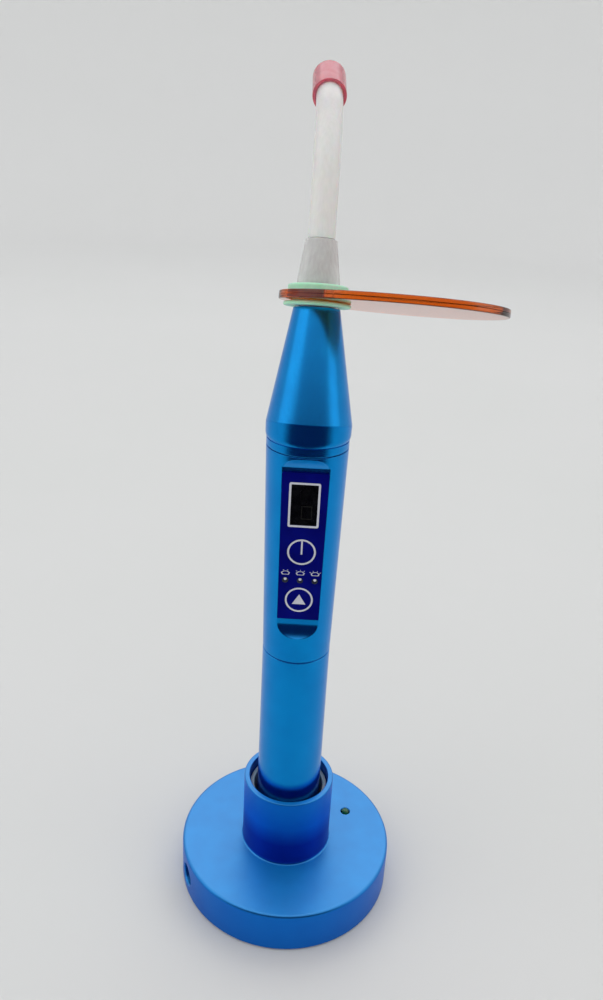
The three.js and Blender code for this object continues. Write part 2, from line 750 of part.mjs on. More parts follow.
// The upright stub and the leaning cone meet in the mitre plane.
function headShell() {
  const stubFoot = BARREL.top + GAP;
  const stub = solid(turned([
    [0, stubFoot],
    [BARREL.topRadius - 0.2, stubFoot],
    [BARREL.topRadius, stubFoot + 0.2],
    [HEAD.mitreRadius, HEAD.mitre + HEAD.overrun],
    [0, HEAD.mitre + HEAD.overrun],
  ], SHOWN_SIDES));
  const cone = solid(turned([
    [0, -HEAD.overrun],
    [HEAD.mitreRadius, -HEAD.overrun],
    [HEAD.mitreRadius, 0],
    [HEAD.creaseRadius, HEAD.crease],
    [HEAD.topRadius, HEAD.top - HEAD.topEdge],
    [HEAD.topRadius - HEAD.topEdge, HEAD.top],
    [0, HEAD.top],
  ], SHOWN_SIDES).applyMatrix4(headMatrix));
  const underMitre = (overlap) =>
    solid(block([-30, -30, -30], [30, 30, overlap]).applyMatrix4(mitreMatrix));
  const outside = stub.intersect(underMitre(0.05)).add(cone.subtract(underMitre(0)));
  const spigot = solid(rod(HEAD_SEAT.radius - GAP, HEAD_SEAT.bottom + GAP, HEAD.mitre - 0.5));
  const wireway = rod(HEAD_SEAT.wireway, HEAD_SEAT.bottom, HEAD.mitre + HEAD.overrun);
  const cavity = turned([
    [0, HEAD.cavityFoot],
    [coneRadius(HEAD.cavityFoot) - HEAD.wall - 0.4, HEAD.cavityFoot],
    [HEAD.creaseRadius - HEAD.wall, HEAD.crease],
    [coneRadius(HEAD.guideBoreFoot) - HEAD.wall, HEAD.guideBoreFoot],
    [HEAD.guideBore, HEAD.guideBoreFoot],
    [HEAD.guideBore, HEAD.top + PAST],
    [0, HEAD.top + PAST],
  ]).applyMatrix4(headMatrix);
  return geometryOf(cutBy(outside.add(spigot), [wireway, cavity]));
}

// A slug with a flange, notched for the two wires.
function heatSink() {
  const slug = solid(turned([
    [0, HEAT_SINK.foot],
    [HEAT_SINK.flange, HEAT_SINK.foot],
    [HEAT_SINK.flange, HEAT_SINK.flangeTop],
    [HEAT_SINK.neck, HEAT_SINK.flangeTop],
    [HEAT_SINK.neck, HEAT_SINK.top],
    [0, HEAT_SINK.top],
  ]));
  const half = HEAT_SINK.notchHalfWide;
  const notch = block(
    [-half, -HEAT_SINK.flange - PAST, HEAT_SINK.foot - PAST],
    [half, -HEAT_SINK.notchDeep, HEAT_SINK.top + PAST],
  );
  return geometryOf(cutBy(slug, [notch]));
}

function emitterBoard() {
  const low = HEAT_SINK.top + GAP;
  return rod(EMITTER.board, low, low + EMITTER.boardThick, MEDIUM_SIDES);
}

function emitter() {
  const low = HEAT_SINK.top + EMITTER.boardThick + 2 * GAP;
  const high = low + EMITTER.domeTall;
  return turned([
    [0, low],
    [EMITTER.dome, low],
    [EMITTER.dome, low + 0.5],
    [0.75 * EMITTER.dome, high - 0.35],
    [0.35 * EMITTER.dome, high - 0.05],
    [0, high],
  ], SMALL_SIDES);
}

function lens() {
  return turned([
    [0, LENS.foot],
    [LENS.footRadius, LENS.foot],
    [LENS.topRadius, LENS.top - 1.2],
    [LENS.topRadius, LENS.top],
    [0, LENS.top],
  ], MEDIUM_SIDES);
}

// One of the two wires from the main board, past the heat sink, to the emitter's board.
function emitterWire(side) {
  const x = side * WIRE.apart;
  const route = [
    [x, -4.6, -6.8],
    [x, -4.4, -3],
    [x, -5.4, 2],
    [x, -6.6, 6],
    [x, -6.6, 10],
    [x, -6.4, HEAT_SINK.top],
  ];
  const path = new THREE.CatmullRomCurve3(route.map((point) => new THREE.Vector3(...point)));
  const section = new THREE.Shape().absarc(0, 0, WIRE.radius, 0, 2 * Math.PI);
  return new THREE.ExtrudeGeometry(section, {
    steps: 12,
    curveSegments: 4,
    bevelEnabled: false,
    extrudePath: path,
  });
}

// ---------------------------------------------------------------- light guide
// The middle line of the rod: straight along the head's axis, round the bend, and straight again.
class GuideLine extends THREE.Curve {
  constructor(from) {
    super();
    this.from = from;
    this.bendLength = GUIDE.bendRadius * radians(GUIDE.bendAngle);
    this.total = GUIDE.bendStart - from + this.bendLength + GUIDE.insideCap;
  }

  getPoint(t, target = new THREE.Vector3()) {
    const past = this.from + this.total * t - GUIDE.bendStart;
    if (past <= 0) return target.set(0, 0, GUIDE.bendStart + past);
    const angle = Math.min(past, this.bendLength) / GUIDE.bendRadius;
    const beyond = Math.max(past - this.bendLength, 0);
    return target.set(
      0,
      GUIDE.bendRadius * (1 - Math.cos(angle)) + beyond * Math.sin(angle),
      GUIDE.bendStart + GUIDE.bendRadius * Math.sin(angle) + beyond * Math.cos(angle),
    );
  }
}

const rodStart = GUIDE.ferruleTop + GAP;
const guideLine = new GuideLine(rodStart);
const tipAngle = radians(GUIDE.bendAngle);
const tipPlace = guideLine.getPoint(1 - GUIDE.insideCap / guideLine.total);
const tipMatrix = new THREE.Matrix4()
  .makeRotationZ(radians(GUIDE.turn))
  .multiply(new THREE.Matrix4().makeRotationX(-tipAngle).setPosition(tipPlace));

function lightGuide() {
  const section = new THREE.Shape().absarc(0, 0, GUIDE.rod, 0, 2 * Math.PI);
  const bent = new THREE.ExtrudeGeometry(section, {
    steps: 24,
    curveSegments: 8,
    bevelEnabled: false,
    extrudePath: guideLine,
  });
  const shank = rod(GUIDE.bore - GAP, GUIDE.foot, rodStart + 2, 16);
  return geometryOf(joined([bent, shank])).rotateZ(radians(GUIDE.turn));
}

function guideFerrule() {
  return turned([
    [GUIDE.bore, GUIDE.foot],
    [GUIDE.shank - 0.3, GUIDE.foot],
    [GUIDE.shank, GUIDE.foot + 0.4],
    [GUIDE.shank, GUIDE.grooveLow],
    [GUIDE.grooveFloor, GUIDE.grooveLow],
    [GUIDE.grooveFloor, GUIDE.grooveHigh],
    [GUIDE.shank, GUIDE.grooveHigh],
    [GUIDE.shank, HEAD.top + GAP],
    [GUIDE.shoulder, HEAD.top + GAP],
    [GUIDE.shoulder, GUIDE.taperFoot],
    [GUIDE.ferruleTopRadius, GUIDE.ferruleTop],
    [GUIDE.bore, GUIDE.ferruleTop],
    [GUIDE.bore, GUIDE.foot],
  ]);
}

function guideSeal() {
  return ring(
    GUIDE.grooveFloor + FINE_GAP,
    HEAD.guideBore - FINE_GAP,
    GUIDE.grooveLow + FINE_GAP,
    GUIDE.grooveHigh - FINE_GAP,
  );
}

// A soft collar with two flanges that grips the eye shield between them.
function shieldGrip() {
  const bore = GUIDE.shoulder + GAP;
  return turned([
    [bore, GRIP.low],
    [GRIP.wide - 0.5, GRIP.low],
    [GRIP.wide, GRIP.low + 0.5],
    [GRIP.wide, GRIP.lowTop - 0.5],
    [GRIP.wide - 0.5, GRIP.lowTop],
    [GRIP.neck, GRIP.lowTop],
    [GRIP.neck, GRIP.highFoot],
    [GRIP.narrow, GRIP.highFoot],
    [GRIP.narrow, GRIP.high - 0.5],
    [GRIP.narrow - 0.5, GRIP.high],
    [bore, GRIP.high],
    [bore, GRIP.low],
  ]);
}

// A flat egg-shaped plate, blunter at its far end. Its own weight tips it in the soft collar.
function shieldOutline() {
  const middle = (SHIELD.far - SHIELD.near) / 2;
  const halfLong = (SHIELD.far + SHIELD.near) / 2;
  const points = [];
  const count = 56;
  for (let i = 0; i < count; i += 1) {
    const angle = (2 * Math.PI * i) / count;
    const swell = 1 + 0.12 * Math.cos(angle);
    points.push(new THREE.Vector2(
      middle + halfLong * Math.cos(angle),
      SHIELD.halfWide * swell * Math.sin(angle),
    ));
  }
  return new THREE.Shape(points);
}

function shield() {
  const outline = shieldOutline();
  outline.holes.push(circleHole(SHIELD.hole, 0, 0));
  const middle = (GRIP.lowTop + GRIP.highFoot) / 2;
  return plate(outline, -SHIELD.thick / 2, SHIELD.thick / 2, 10)
    .rotateY(radians(SHIELD.droop))
    .translate(0, 0, middle);
}

function tipCap() {
  return turned([
    [0, CAP.length - CAP.end],
    [CAP.bore, CAP.length - CAP.end],
    [CAP.bore, 0],
    [CAP.radius, 0],
    [CAP.radius, CAP.length - CAP.edge],
    [CAP.radius - CAP.edge, CAP.length],
    [0, CAP.length],
  ], MEDIUM_SIDES).applyMatrix4(tipMatrix);
}

function headGroup() {
  const leaning = groupOf(
    piece("heat_sink", heatSink(), MATERIAL.aluminium),
    piece("emitter_board", emitterBoard(), MATERIAL.whitePlastic),
    piece("emitter", emitter(), MATERIAL.clearGlass),
    piece("lens", lens(), MATERIAL.clearGlass),
    piece("emitter_wire_red", emitterWire(-1), MATERIAL.redWire),
    piece("emitter_wire_black", emitterWire(1), MATERIAL.rubber),
    piece("guide_seal", guideSeal(), MATERIAL.rubber),
    piece("guide_ferrule", guideFerrule(), MATERIAL.clearGlass),
    piece("light_guide", lightGuide(), MATERIAL.frostedGlass),
    piece("shield_grip", shieldGrip(), MATERIAL.mintSilicone),
    piece("shield", shield(), MATERIAL.orangeAcrylic),
    piece("tip_cap", tipCap(), MATERIAL.pinkSilicone),
  );
  leaning.applyMatrix4(headMatrix);
  return groupOf(piece("head_shell", headShell(), MATERIAL.blueMetal), leaning);
}

export default groupOf(chargingBase(), tail(), barrelGroup(), headGroup());
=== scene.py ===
"""Looks of a cordless dental curing light that stands in its charging base.

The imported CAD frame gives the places; sizes are written in millimetres, as on a drawing, and
become metres when a mesh is made. +Z is up and the control panel faces -Y.
"""
import json
import math

import bmesh
import bpy
from mathutils import Matrix, Vector


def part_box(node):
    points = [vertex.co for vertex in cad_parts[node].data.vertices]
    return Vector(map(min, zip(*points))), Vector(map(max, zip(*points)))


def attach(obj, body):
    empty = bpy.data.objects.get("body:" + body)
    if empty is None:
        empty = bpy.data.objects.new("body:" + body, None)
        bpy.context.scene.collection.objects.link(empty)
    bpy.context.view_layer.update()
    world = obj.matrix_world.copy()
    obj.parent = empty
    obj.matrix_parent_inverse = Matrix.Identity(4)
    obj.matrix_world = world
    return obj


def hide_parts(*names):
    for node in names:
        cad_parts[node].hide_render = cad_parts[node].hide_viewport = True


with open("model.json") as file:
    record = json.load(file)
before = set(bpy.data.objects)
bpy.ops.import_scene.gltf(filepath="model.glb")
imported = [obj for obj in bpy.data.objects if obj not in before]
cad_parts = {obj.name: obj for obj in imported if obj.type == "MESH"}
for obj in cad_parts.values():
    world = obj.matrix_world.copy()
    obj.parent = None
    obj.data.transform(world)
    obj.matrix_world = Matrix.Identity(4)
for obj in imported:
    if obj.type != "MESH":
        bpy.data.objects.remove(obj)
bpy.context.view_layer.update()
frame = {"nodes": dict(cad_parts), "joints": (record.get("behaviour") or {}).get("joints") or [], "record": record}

MM = 0.001


# ---- sizes in mm, as in the CAD
class Sizes:
    """Sizes of one part, by name."""

    def __init__(self, **sizes):
        for name, size in sizes.items():
            setattr(self, name, size)


GAP = 0.3  # between neighbouring pieces
SIDES = 128  # sides of a large turned piece
SMALL_SIDES = 48
CORNER_STEPS = 5  # facets that round one corner of a profile
CORNER_SHARE = 0.49  # most of a side that the rounding of one corner takes
POLE = 1e-6  # a ring with a smaller radius is one point on the axis

FOOT = Sizes(radius=41, top=17, underside=0.6, ceiling=13.5, hollow=35.5, plate_seat=38.6,
             plate_top=4.7, edge=1.3)
COLLAR = Sizes(radius=17.2, bore=15.1, top=46.4, ledge=12.5, ledge_top=16)
CUP = Sizes(radius=14.8, bore=13.3, top=42.5, low=16.3, floor=19, pin_hole=1.4, pin_side=6.6)
SCREW = Sizes(ring=33.2, turns=(114, 234, 354), boss=2.6, hole=1.5, top=10.8)
PIN = Sizes(radius=1.1, flange=1.9, flange_low=12.05, flange_high=13.55)
JACK = Sizes(turn=204, height=8.5, hole=4.2, barrel=3.9, bore=2.8, front=37.5, bore_foot=27.5,
             body_back=23, body_front=35, half_wide=4.6, below=3.6, above=4.2, pin=1)
LAMP = Sizes(radius=1.5, hole=1.8, shoulder=0.6, leg_side=0.9, leg_half=0.25, leg_foot=8)

TAIL = Sizes(radius=12.06, bore=9.5, bottom=19.3, top=105.6, lip=8.6, spigot_bore=11,
             spigot_foot=95.7, plug_seat=20)
BARREL = Sizes(foot=105.9, top=182.4, foot_radius=12.06, top_radius=13.52, bore=9, bore_foot=101)
SPIGOT = Sizes(bottom=96, radius=10.7, bore=9.5, groove_low=103, groove_high=104.6,
               groove_radius=9.95)
HEAD_SEAT = Sizes(radius=10.2, bottom=174, wireway=8.3)
PANEL = Sizes(bottom=120.75, top=178.3, depth_bottom=10.1, depth_top=11.1, tip_bottom=115.8,
              tip_top=182, corner=0.3, straight=0.5)
WINDOW = Sizes(half_wide=5.6, low=-25.2, high=25, deep=4)
LABEL = Sizes(top_wide=15.1, bottom_wide=14.2, foot=-27.55, top=26.5, low=0.15, high=0.65,
              corner=0.4)
DISPLAY = Sizes(wide=8.6, tall=14.3, up=15.35, corner=0.4, line=0.68, sunk=0.05, bevel=0.06)
KEY = Sizes(radius=4.8, stem=1.4, stem_deep=1.6)
KEY_PLACES = {"power_key": -1.6, "mode_key": -19.8}  # up the panel from its middle
MODE_LAMPS = {"left": -1, "middle": 0, "right": 1}  # places across it, in steps of the pitch
MODE_LAMP = Sizes(radius=0.55, pitch=4.95, up=-12, low=-4.2, high=0.55)

HEAD = Sizes(mitre=184.5, crease_radius=14, crease=5.05, top=41.25, top_radius=7.44, bore=5.9,
             bore_foot=29.5, wall=2, cavity_foot=3)
BAND = Sizes(foot=185.1, rise=0.04, radius=13.86, round=0.35, tuck=0.5, groove=0.3,
             groove_low=0.18, groove_floor=0.1)
GUIDE = Sizes(foot=30.5, shank=5.6, groove_floor=4.9, groove_low=34.4, groove_high=36, bore=4.2,
              shoulder=6.8, shoulder_foot=41.55, taper_foot=49.2, ferrule_top=62, top_radius=5.1,
              rod=4.3, core=3.9, bend_start=84, bend_radius=30, bend_angle=53, inside_cap=14.6,
              turn=5)
GRIP = Sizes(low=41.6, low_top=42.8, high_foot=46, high=48.2, wide=10.7, narrow=9.6, neck=8,
             bore=7.1)
SHIELD = Sizes(near=12.3, far=60.4, half_wide=25, hole=8.3, thick=2.6, droop=1.4, swell=0.12,
               round=0.45)
CAP = Sizes(radius=5.5, bore=4.6, length=16.4, end=1.3)

INK = 0.04  # thickness of the printing on the label

# ---- places from the frame
JOINTS = {joint["name"]: joint for joint in frame["joints"]}


def joint_axis(name):
    return Vector(JOINTS[name]["axis"]).normalized()


def move(x, y, z):
    return Matrix.Translation((x, y, z))


def turn_about(degrees, axis):
    return Matrix.Rotation(math.radians(degrees), 4, axis)


def head_place():
    """The head's own frame in mm: Z along its axis, from the point where it leaves the barrel's."""
    axis = joint_axis("guide_turn")
    pivot = Vector(JOINTS["guide_turn"]["pos_m"]) / MM
    origin = pivot - axis * (pivot.y / axis.y)
    lean = math.acos(axis.z)
    turn = math.atan2(axis.x, axis.y)
    return (Matrix.Translation(origin) @ Matrix.Rotation(-turn, 4, "Z")
            @ Matrix.Rotation(-lean, 4, "X"))


def panel_place():
    """The panel's frame in mm: X across, Y up the flat, Z out of it, from the flat's middle."""
    out = -joint_axis("power_press")
    across = Vector((1, 0, 0))
    up = out.cross(across)
    low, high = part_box("panel_label")
    middle = (low + high) / 2 / MM - out * (LABEL.low + LABEL.high) / 2
    middle -= up * (LABEL.foot + LABEL.top) / 2
    place = Matrix((across, up, out)).transposed().to_4x4()
    place.translation = middle
    return place


HEAD_AT = head_place()
PANEL_AT = panel_place()
GUIDE_AT = HEAD_AT @ turn_about(GUIDE.turn, "Z")


# ---- mesh helpers
def rounded(corners, closed=False):
    """[x, y] points of a profile whose corners are (x, y) or (x, y, rounding)."""
    points = []
    count = len(corners)
    for i, corner in enumerate(corners):
        here = Vector(corner[:2])
        rounding = corner[2] if len(corner) > 2 else 0
        if not rounding or (not closed and i in (0, count - 1)):
            points.append(tuple(here))
            continue
        before = Vector(corners[i - 1][:2]) - here
        after = Vector(corners[(i + 1) % count][:2]) - here
        back = rounding / math.tan(before.angle(after) / 2)
        start = here + before.normalized() * min(back, CORNER_SHARE * before.length)
        end = here + after.normalized() * min(back, CORNER_SHARE * after.length)
        for step in range(CORNER_STEPS + 1):
            t = step / CORNER_STEPS
            points.append(tuple((1 - t) ** 2 * start + 2 * t * (1 - t) * here + t * t * end))
    return points


def skin(rings, looped=False):
    """Points and faces of a surface through rings of points; a ring of one point is a pole."""
    points = []
    numbers = []
    for ring in rings:
        numbers.append(range(len(points), len(points) + len(ring)))
        points.extend(ring)
    pairs = list(zip(numbers, numbers[1:]))
    if looped:
        pairs.append((numbers[-1], numbers[0]))
    faces = []
    for below, above in pairs:
        count = max(len(below), len(above))
        for i in range(count):
            j = (i + 1) % count
            if len(below) == 1:
                faces.append((below[0], above[j], above[i]))
            elif len(above) == 1:
                faces.append((below[i], below[j], above[0]))
            else:
                faces.append((below[i], below[j], above[j], above[i]))
    return points, faces


def circle(radius, height, sides):
    if radius < POLE:
        return [Vector((0, 0, height))]
    turns = [2 * math.pi * i / sides for i in range(sides)]
    return [Vector((radius * math.cos(t), radius * math.sin(t), height)) for t in turns]


def lathe(corners, sides=SIDES):
    """A solid turned about Z. Its profile starts and ends on the axis, or else it closes."""
    closed = corners[0][0] > 0
    rings = [circle(radius, height, sides) for radius, height in rounded(corners, closed)]
    return skin(rings, looped=closed)


def capped(rings):
    """Closes a skin of rings with a point in the middle of each end."""
    def middle(ring):
        return [sum(ring, Vector()) / len(ring)]
    return skin([middle(rings[0]), *rings, middle(rings[-1])])


def box_solid(low, high):
    (a, b, c), (d, e, f) = low, high
    points = [Vector(p) for p in ((a, b, c), (d, b, c), (d, e, c), (a, e, c),
                                  (a, b, f), (d, b, f), (d, e, f), (a, e, f))]
    faces = [(0, 3, 2, 1), (4, 5, 6, 7), (0, 1, 5, 4), (1, 2, 6, 5), (2, 3, 7, 6), (3, 0, 4, 7)]
    return points, faces


def add(name, data):
    """A new object in the scene."""
    thing = bpy.data.objects.new(name, data)
    bpy.context.scene.collection.objects.link(thing)
    return thing


def mesh_object(name, solid, place=Matrix()):
    """An object whose mesh has its place in it, in metres."""
    points, faces = solid
    mesh = bpy.data.meshes.new(name)
    mesh.from_pydata([(place @ Vector(p)) * MM for p in points], [], faces)
    shape = bmesh.new()
    shape.from_mesh(mesh)
    bmesh.ops.remove_doubles(shape, verts=shape.verts, dist=1e-8)
    bmesh.ops.recalc_face_normals(shape, faces=shape.faces)
    shape.to_mesh(mesh)
    shape.free()
    return add(name, mesh)


def join_solids(*solids):
    """Several separate closed solids as one list of points and faces."""
    points = []
    faces = []
    for more_points, more_faces in solids:
        first = len(points)
        points.extend(more_points)
        faces.extend(tuple(first + i for i in face) for face in more_faces)
    return points, faces


def moved(solid, place):
    points, faces = solid
    return [place @ Vector(p) for p in points], faces


def evaluated_mesh(thing):
    graph = bpy.context.evaluated_depsgraph_get()
    return bpy.data.meshes.new_from_object(thing.evaluated_get(graph))


def combine(thing, solids, operation):
    """Cuts solids out of an object, or joins them to it."""
    tools = []
    for solid in solids:
        tool = mesh_object("tool", solid)
        modifier = thing.modifiers.new("combine", "BOOLEAN")
        modifier.operation = operation
        modifier.solver = "EXACT"
        modifier.object = tool
        tools.append(tool)
    mesh = evaluated_mesh(thing)
    thing.modifiers.clear()
    thing.data = mesh
    for tool in tools:
        bpy.data.objects.remove(tool)


def shade(thing, sharp_angle=35):
    """Smooth faces with clean flats between the rounded corners."""
    thing.data.shade_smooth()
    thing.data.set_sharp_from_angle(angle=math.radians(sharp_angle))
    normals = thing.modifiers.new("weighted_normals", "WEIGHTED_NORMAL")
    normals.keep_sharp = True
    normals.weight = 80


def piece(name, solid, body, material, nodes=(), place=Matrix(), cuts=(), joins=()):
    """Makes a piece: its mesh, its material, the body it rides on and the nodes it replaces."""
    thing = mesh_object(name, solid, place)
    if joins:
        combine(thing, joins, "UNION")
    if cuts:
        combine(thing, cuts, "DIFFERENCE")
    thing.data.materials.clear()
    thing.data.materials.append(material)
    shade(thing)
    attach(thing, body)
    if nodes:
        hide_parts(*nodes)


def outline_solid(outline, holes, low, high, bevel=0):
    """A flat plate with holes, from closed lists of [x, y] points, with its edges eased."""
    curve = bpy.data.curves.new("outline", "CURVE")
    curve.dimensions = "2D"
    curve.fill_mode = "BOTH"
    for loop in [outline, *holes]:
        spline = curve.splines.new("POLY")
        spline.points.add(len(loop) - 1)
        spline.use_cyclic_u = True
        for point, (x, y) in zip(spline.points, loop):
            point.co = (x, y, 0, 1)
    curve.extrude = (high - low) / 2 - bevel
    curve.bevel_depth = bevel
    curve.offset = -bevel
    curve.bevel_resolution = 2
    thing = add("outline", curve)
    mesh = evaluated_mesh(thing)
    middle = Vector((0, 0, (low + high) / 2))
    points = [v.co + middle for v in mesh.vertices]
    faces = [tuple(p.vertices) for p in mesh.polygons]
    bpy.data.objects.remove(thing)
    bpy.data.curves.remove(curve)
    bpy.data.meshes.remove(mesh)
    return points, faces


def disc_outline(radius, x=0, y=0, sides=SMALL_SIDES):
    return [(x + p.x, y + p.y) for p in circle(radius, 0, sides)]


def rectangle_outline(wide, tall, corner, up=0):
    x, y = wide / 2, tall / 2
    corners = [(x, up - y, corner), (x, up + y, corner), (-x, up + y, corner),
               (-x, up - y, corner)]
    return rounded(corners, closed=True)


# ---- materials
class Paint:
    """A Principled material with a few procedural helpers. Patterns are sized in millimetres."""

    def __init__(self, title, **values):
        self.material = bpy.data.materials.new(title)
        self.material.use_nodes = True
        self.nodes = self.material.node_tree.nodes
        self.links = self.material.node_tree.links
        self.shader = self.nodes["Principled BSDF"]
        self.output = self.nodes["Material Output"]
        self.place = self.node("TexCoord").outputs["Object"]
        self.preset(self.shader, values)

    def preset(self, node, values):
        for key, value in values.items():
            name = key.replace("_", " ").title().replace("Ior", "IOR")
            node.inputs[name].default_value = value

    def node(self, kind, **values):
        """A new node, with plain values on its inputs."""
        made = self.nodes.new("ShaderNode" + kind)
        self.preset(made, values)
        return made

    def noise(self, size, detail=2.0, stretch=(1, 1, 1), roughness=0.5):
        """Noise with features of about size mm, drawn out by stretch along each axis."""
        mapping = self.node("Mapping", scale=[1 / s for s in stretch])
        self.links.new(self.place, mapping.inputs["Vector"])
        noise = self.node("TexNoise", scale=1 / (size * MM), detail=detail, roughness=roughness)
        self.links.new(mapping.outputs["Vector"], noise.inputs["Vector"])
        return noise.outputs["Fac"]

    def spread(self, value, low, high, start=0.3, end=0.7):
        """Maps start to end, which is a pattern's middle range, onto low to high."""
        node = self.node("MapRange", from_min=start, from_max=end, to_min=low, to_max=high)
        self.links.new(value, node.inputs["Value"])
        return node.outputs["Result"]

    def mix(self, share, first, second):
        node = self.node("Mix")
        node.data_type = "RGBA"
        self.links.new(share, node.inputs["Factor"])
        for socket, colour in ((node.inputs[6], first), (node.inputs[7], second)):
            if isinstance(colour, bpy.types.NodeSocket):
                self.links.new(colour, socket)
            else:
                socket.default_value = colour
        return node.outputs[2]

    def colour(self, share, first, second):
        mixed = self.mix(share, first, second)
        self.drive("Base Color", mixed)
        return mixed

    def drive(self, socket, value):
        self.links.new(value, self.shader.inputs[socket])

    def bump(self, value, height, strength=1.0):
        """Relief of about height mm."""
        node = self.node("Bump", strength=strength, distance=height * MM)
        self.links.new(value, node.inputs["Height"])
        self.drive("Normal", node.outputs["Normal"])

    def blend(self, share, **values):
        """Lets a plain second finish show through by a share."""
        second = self.node("BsdfPrincipled", **values)
        blended = self.node("MixShader", fac=share)
        self.links.new(self.shader.outputs["BSDF"], blended.inputs[1])
        self.links.new(second.outputs["BSDF"], blended.inputs[2])
        self.links.new(blended.outputs["Shader"], self.output.inputs["Surface"])

    def product(self, first, *others):
        """All the values multiplied together; the others may be plain numbers."""
        for other in others:
            times = self.node("Math")
            times.operation = "MULTIPLY"
            self.links.new(first, times.inputs[0])
            if isinstance(other, bpy.types.NodeSocket):
                self.links.new(other, times.inputs[1])
            else:
                times.inputs[1].default_value = other
            first = times.outputs["Value"]
        return first

    def facing(self, low, high, start, end):
        """Runs from low to high as a face turns; 0 is upright, 1 up and -1 down."""
        split = self.node("SeparateXYZ")
        normal = self.node("NewGeometry").outputs["Normal"]
        self.links.new(normal, split.inputs["Vector"])
        return self.spread(split.outputs["Z"], low, high, start, end)

    def along(self, axis):
        """The place along one axis of the frame, in mm."""
        split = self.node("SeparateXYZ")
        self.links.new(self.place, split.inputs["Vector"])
        return self.product(split.outputs[axis], 1 / MM)

    def distance(self):
        """The distance from the frame's origin, in mm."""
        length = self.node("VectorMath")
        length.operation = "LENGTH"
        self.links.new(self.place, length.inputs[0])
        return self.product(length.outputs["Value"], 1 / MM)


LEVEL = (0.15, 0.95)  # how far up a face looks when it begins to count as level, and when it does


def blue_metal(title, roughness, matt, matt_metal, sheen, deep=()):
    """Bead-blasted aluminium, dyed and sealed: satin metal over a deep blue seen in the shade.

    Faces turned from matt[0] to matt[1] go from bright metal to matt_metal, and sheen is the
    seal on level faces. Deep is four heights for painted shade: upright faces are painted half-way
    to a darker blue, and a painted dark reflection darkens the colour between the first two
    heights and is gone between the last two.
    """
    paint = Paint(title, specular_tint=(0.9, 0.92, 1, 1), coat_ior=1.6,
                  coat_roughness=roughness)
    paint.drive("Metallic", paint.facing(1, matt_metal, *matt))
    paint.drive("Coat Weight", paint.facing(0.08, sheen, *LEVEL))
    grain = paint.noise(0.16, detail=3, roughness=0.65)
    clouds = paint.noise(9, detail=3)
    dye_and_painted_shade = paint.colour(paint.spread(clouds, 0, 1), (0, 0.28, 0.7, 1), (0, 0.32, 0.77, 1))
    if deep:
        # painted shade: upright faces are painted half-way to a darker blue
        dye_and_painted_shade = paint.colour(paint.facing(0.5, 0, *LEVEL), dye_and_painted_shade, (0, 0.1, 0.66, 1))
        # painted dark reflection: the collar is painted navy from just above the foot, fading out by the last
        # height
        height = paint.along("Z")
        collar_painted_shade = paint.product(paint.spread(height, 0, 0.85, *deep[:2]),
                             paint.spread(height, 1, 0, *deep[2:]))
        paint.colour(collar_painted_shade, dye_and_painted_shade, (0, 0.02, 0.32, 1))
    paint.drive("Roughness", paint.spread(grain, roughness - 0.06, roughness + 0.06))
    paint.bump(grain, 0.014, 0.6)
    paint.blend(0.16, base_color=(0, 0, 0.4, 1), roughness=0.5, specular_ior_level=0.05)
    return paint.material


def finish(title, size, dark, light, detail=2, stretch=(1, 1, 1), rough=None, relief=None,
           fine=None, **values):
    """A finish that follows noise of a size in mm from its dark to its light colour.

    Its range of roughness and its relief (height in mm and strength) follow the same noise, or
    a finer one of the size given as fine.
    """
    paint = Paint(title, **values)
    pattern = paint.noise(size, detail, stretch)
    paint.colour(paint.spread(pattern, 0, 1), (*dark, 1), (*light, 1))
    grain = paint.noise(fine) if fine else pattern
    if rough:
        paint.drive("Roughness", paint.spread(grain, *rough))
    if relief:
        paint.bump(grain, *relief)
    return paint.material


def mint_silicone():
    """Soft collar: a haze, with its own grain for the sheen and another for the relief."""
    paint = Paint("mint_silicone", roughness=0.48, subsurface_weight=0.35,
                  subsurface_scale=0.003)
    haze = paint.noise(2.2, detail=3)
    paint.colour(paint.spread(haze, 0, 1), (0.4, 0.87, 0.6, 1), (0.5, 0.91, 0.67, 1))
    paint.drive("Roughness", paint.spread(paint.noise(0.3), 0.4, 0.58))
    paint.bump(paint.noise(0.4), 0.015, 0.4)
    return paint.material


BLUE = blue_metal("blue_anodised", roughness=0.22, matt=(-0.12, -0.4), matt_metal=0.2,
                  sheen=0.6)
# deep paints shade: a dark reflection low on the collar and darker upright faces
BASE_BLUE = blue_metal("blue_base", roughness=0.38, matt=(0.8, 0.98), matt_metal=0.45,
                       sheen=0.85, deep=(17.2, 18.4, 26, 34))
STEEL = finish("zinc_steel", 0.5, (0.5, 0.51, 0.53), (0.68, 0.69, 0.7), detail=4,
               stretch=(6, 1, 1), rough=(0.28, 0.45), metallic=1, roughness=0.35)
ALUMINIUM = finish("turned_aluminium", 0.25, (0.66, 0.67, 0.69), (0.8, 0.81, 0.82),
                   stretch=(12, 12, 1), relief=(0.01, 0.5), metallic=1, roughness=0.3)
BRASS = finish("plated_brass", 1.2, (0.72, 0.5, 0.18), (0.85, 0.64, 0.28), detail=3,
               rough=(0.16, 0.32), metallic=1, roughness=0.22)
RUBBER = finish("black_rubber", 0.6, (0.012, 0.012, 0.014), (0.035, 0.035, 0.038), detail=4,
                rough=(0.65, 0.9), relief=(0.03, 0.5), roughness=0.75)
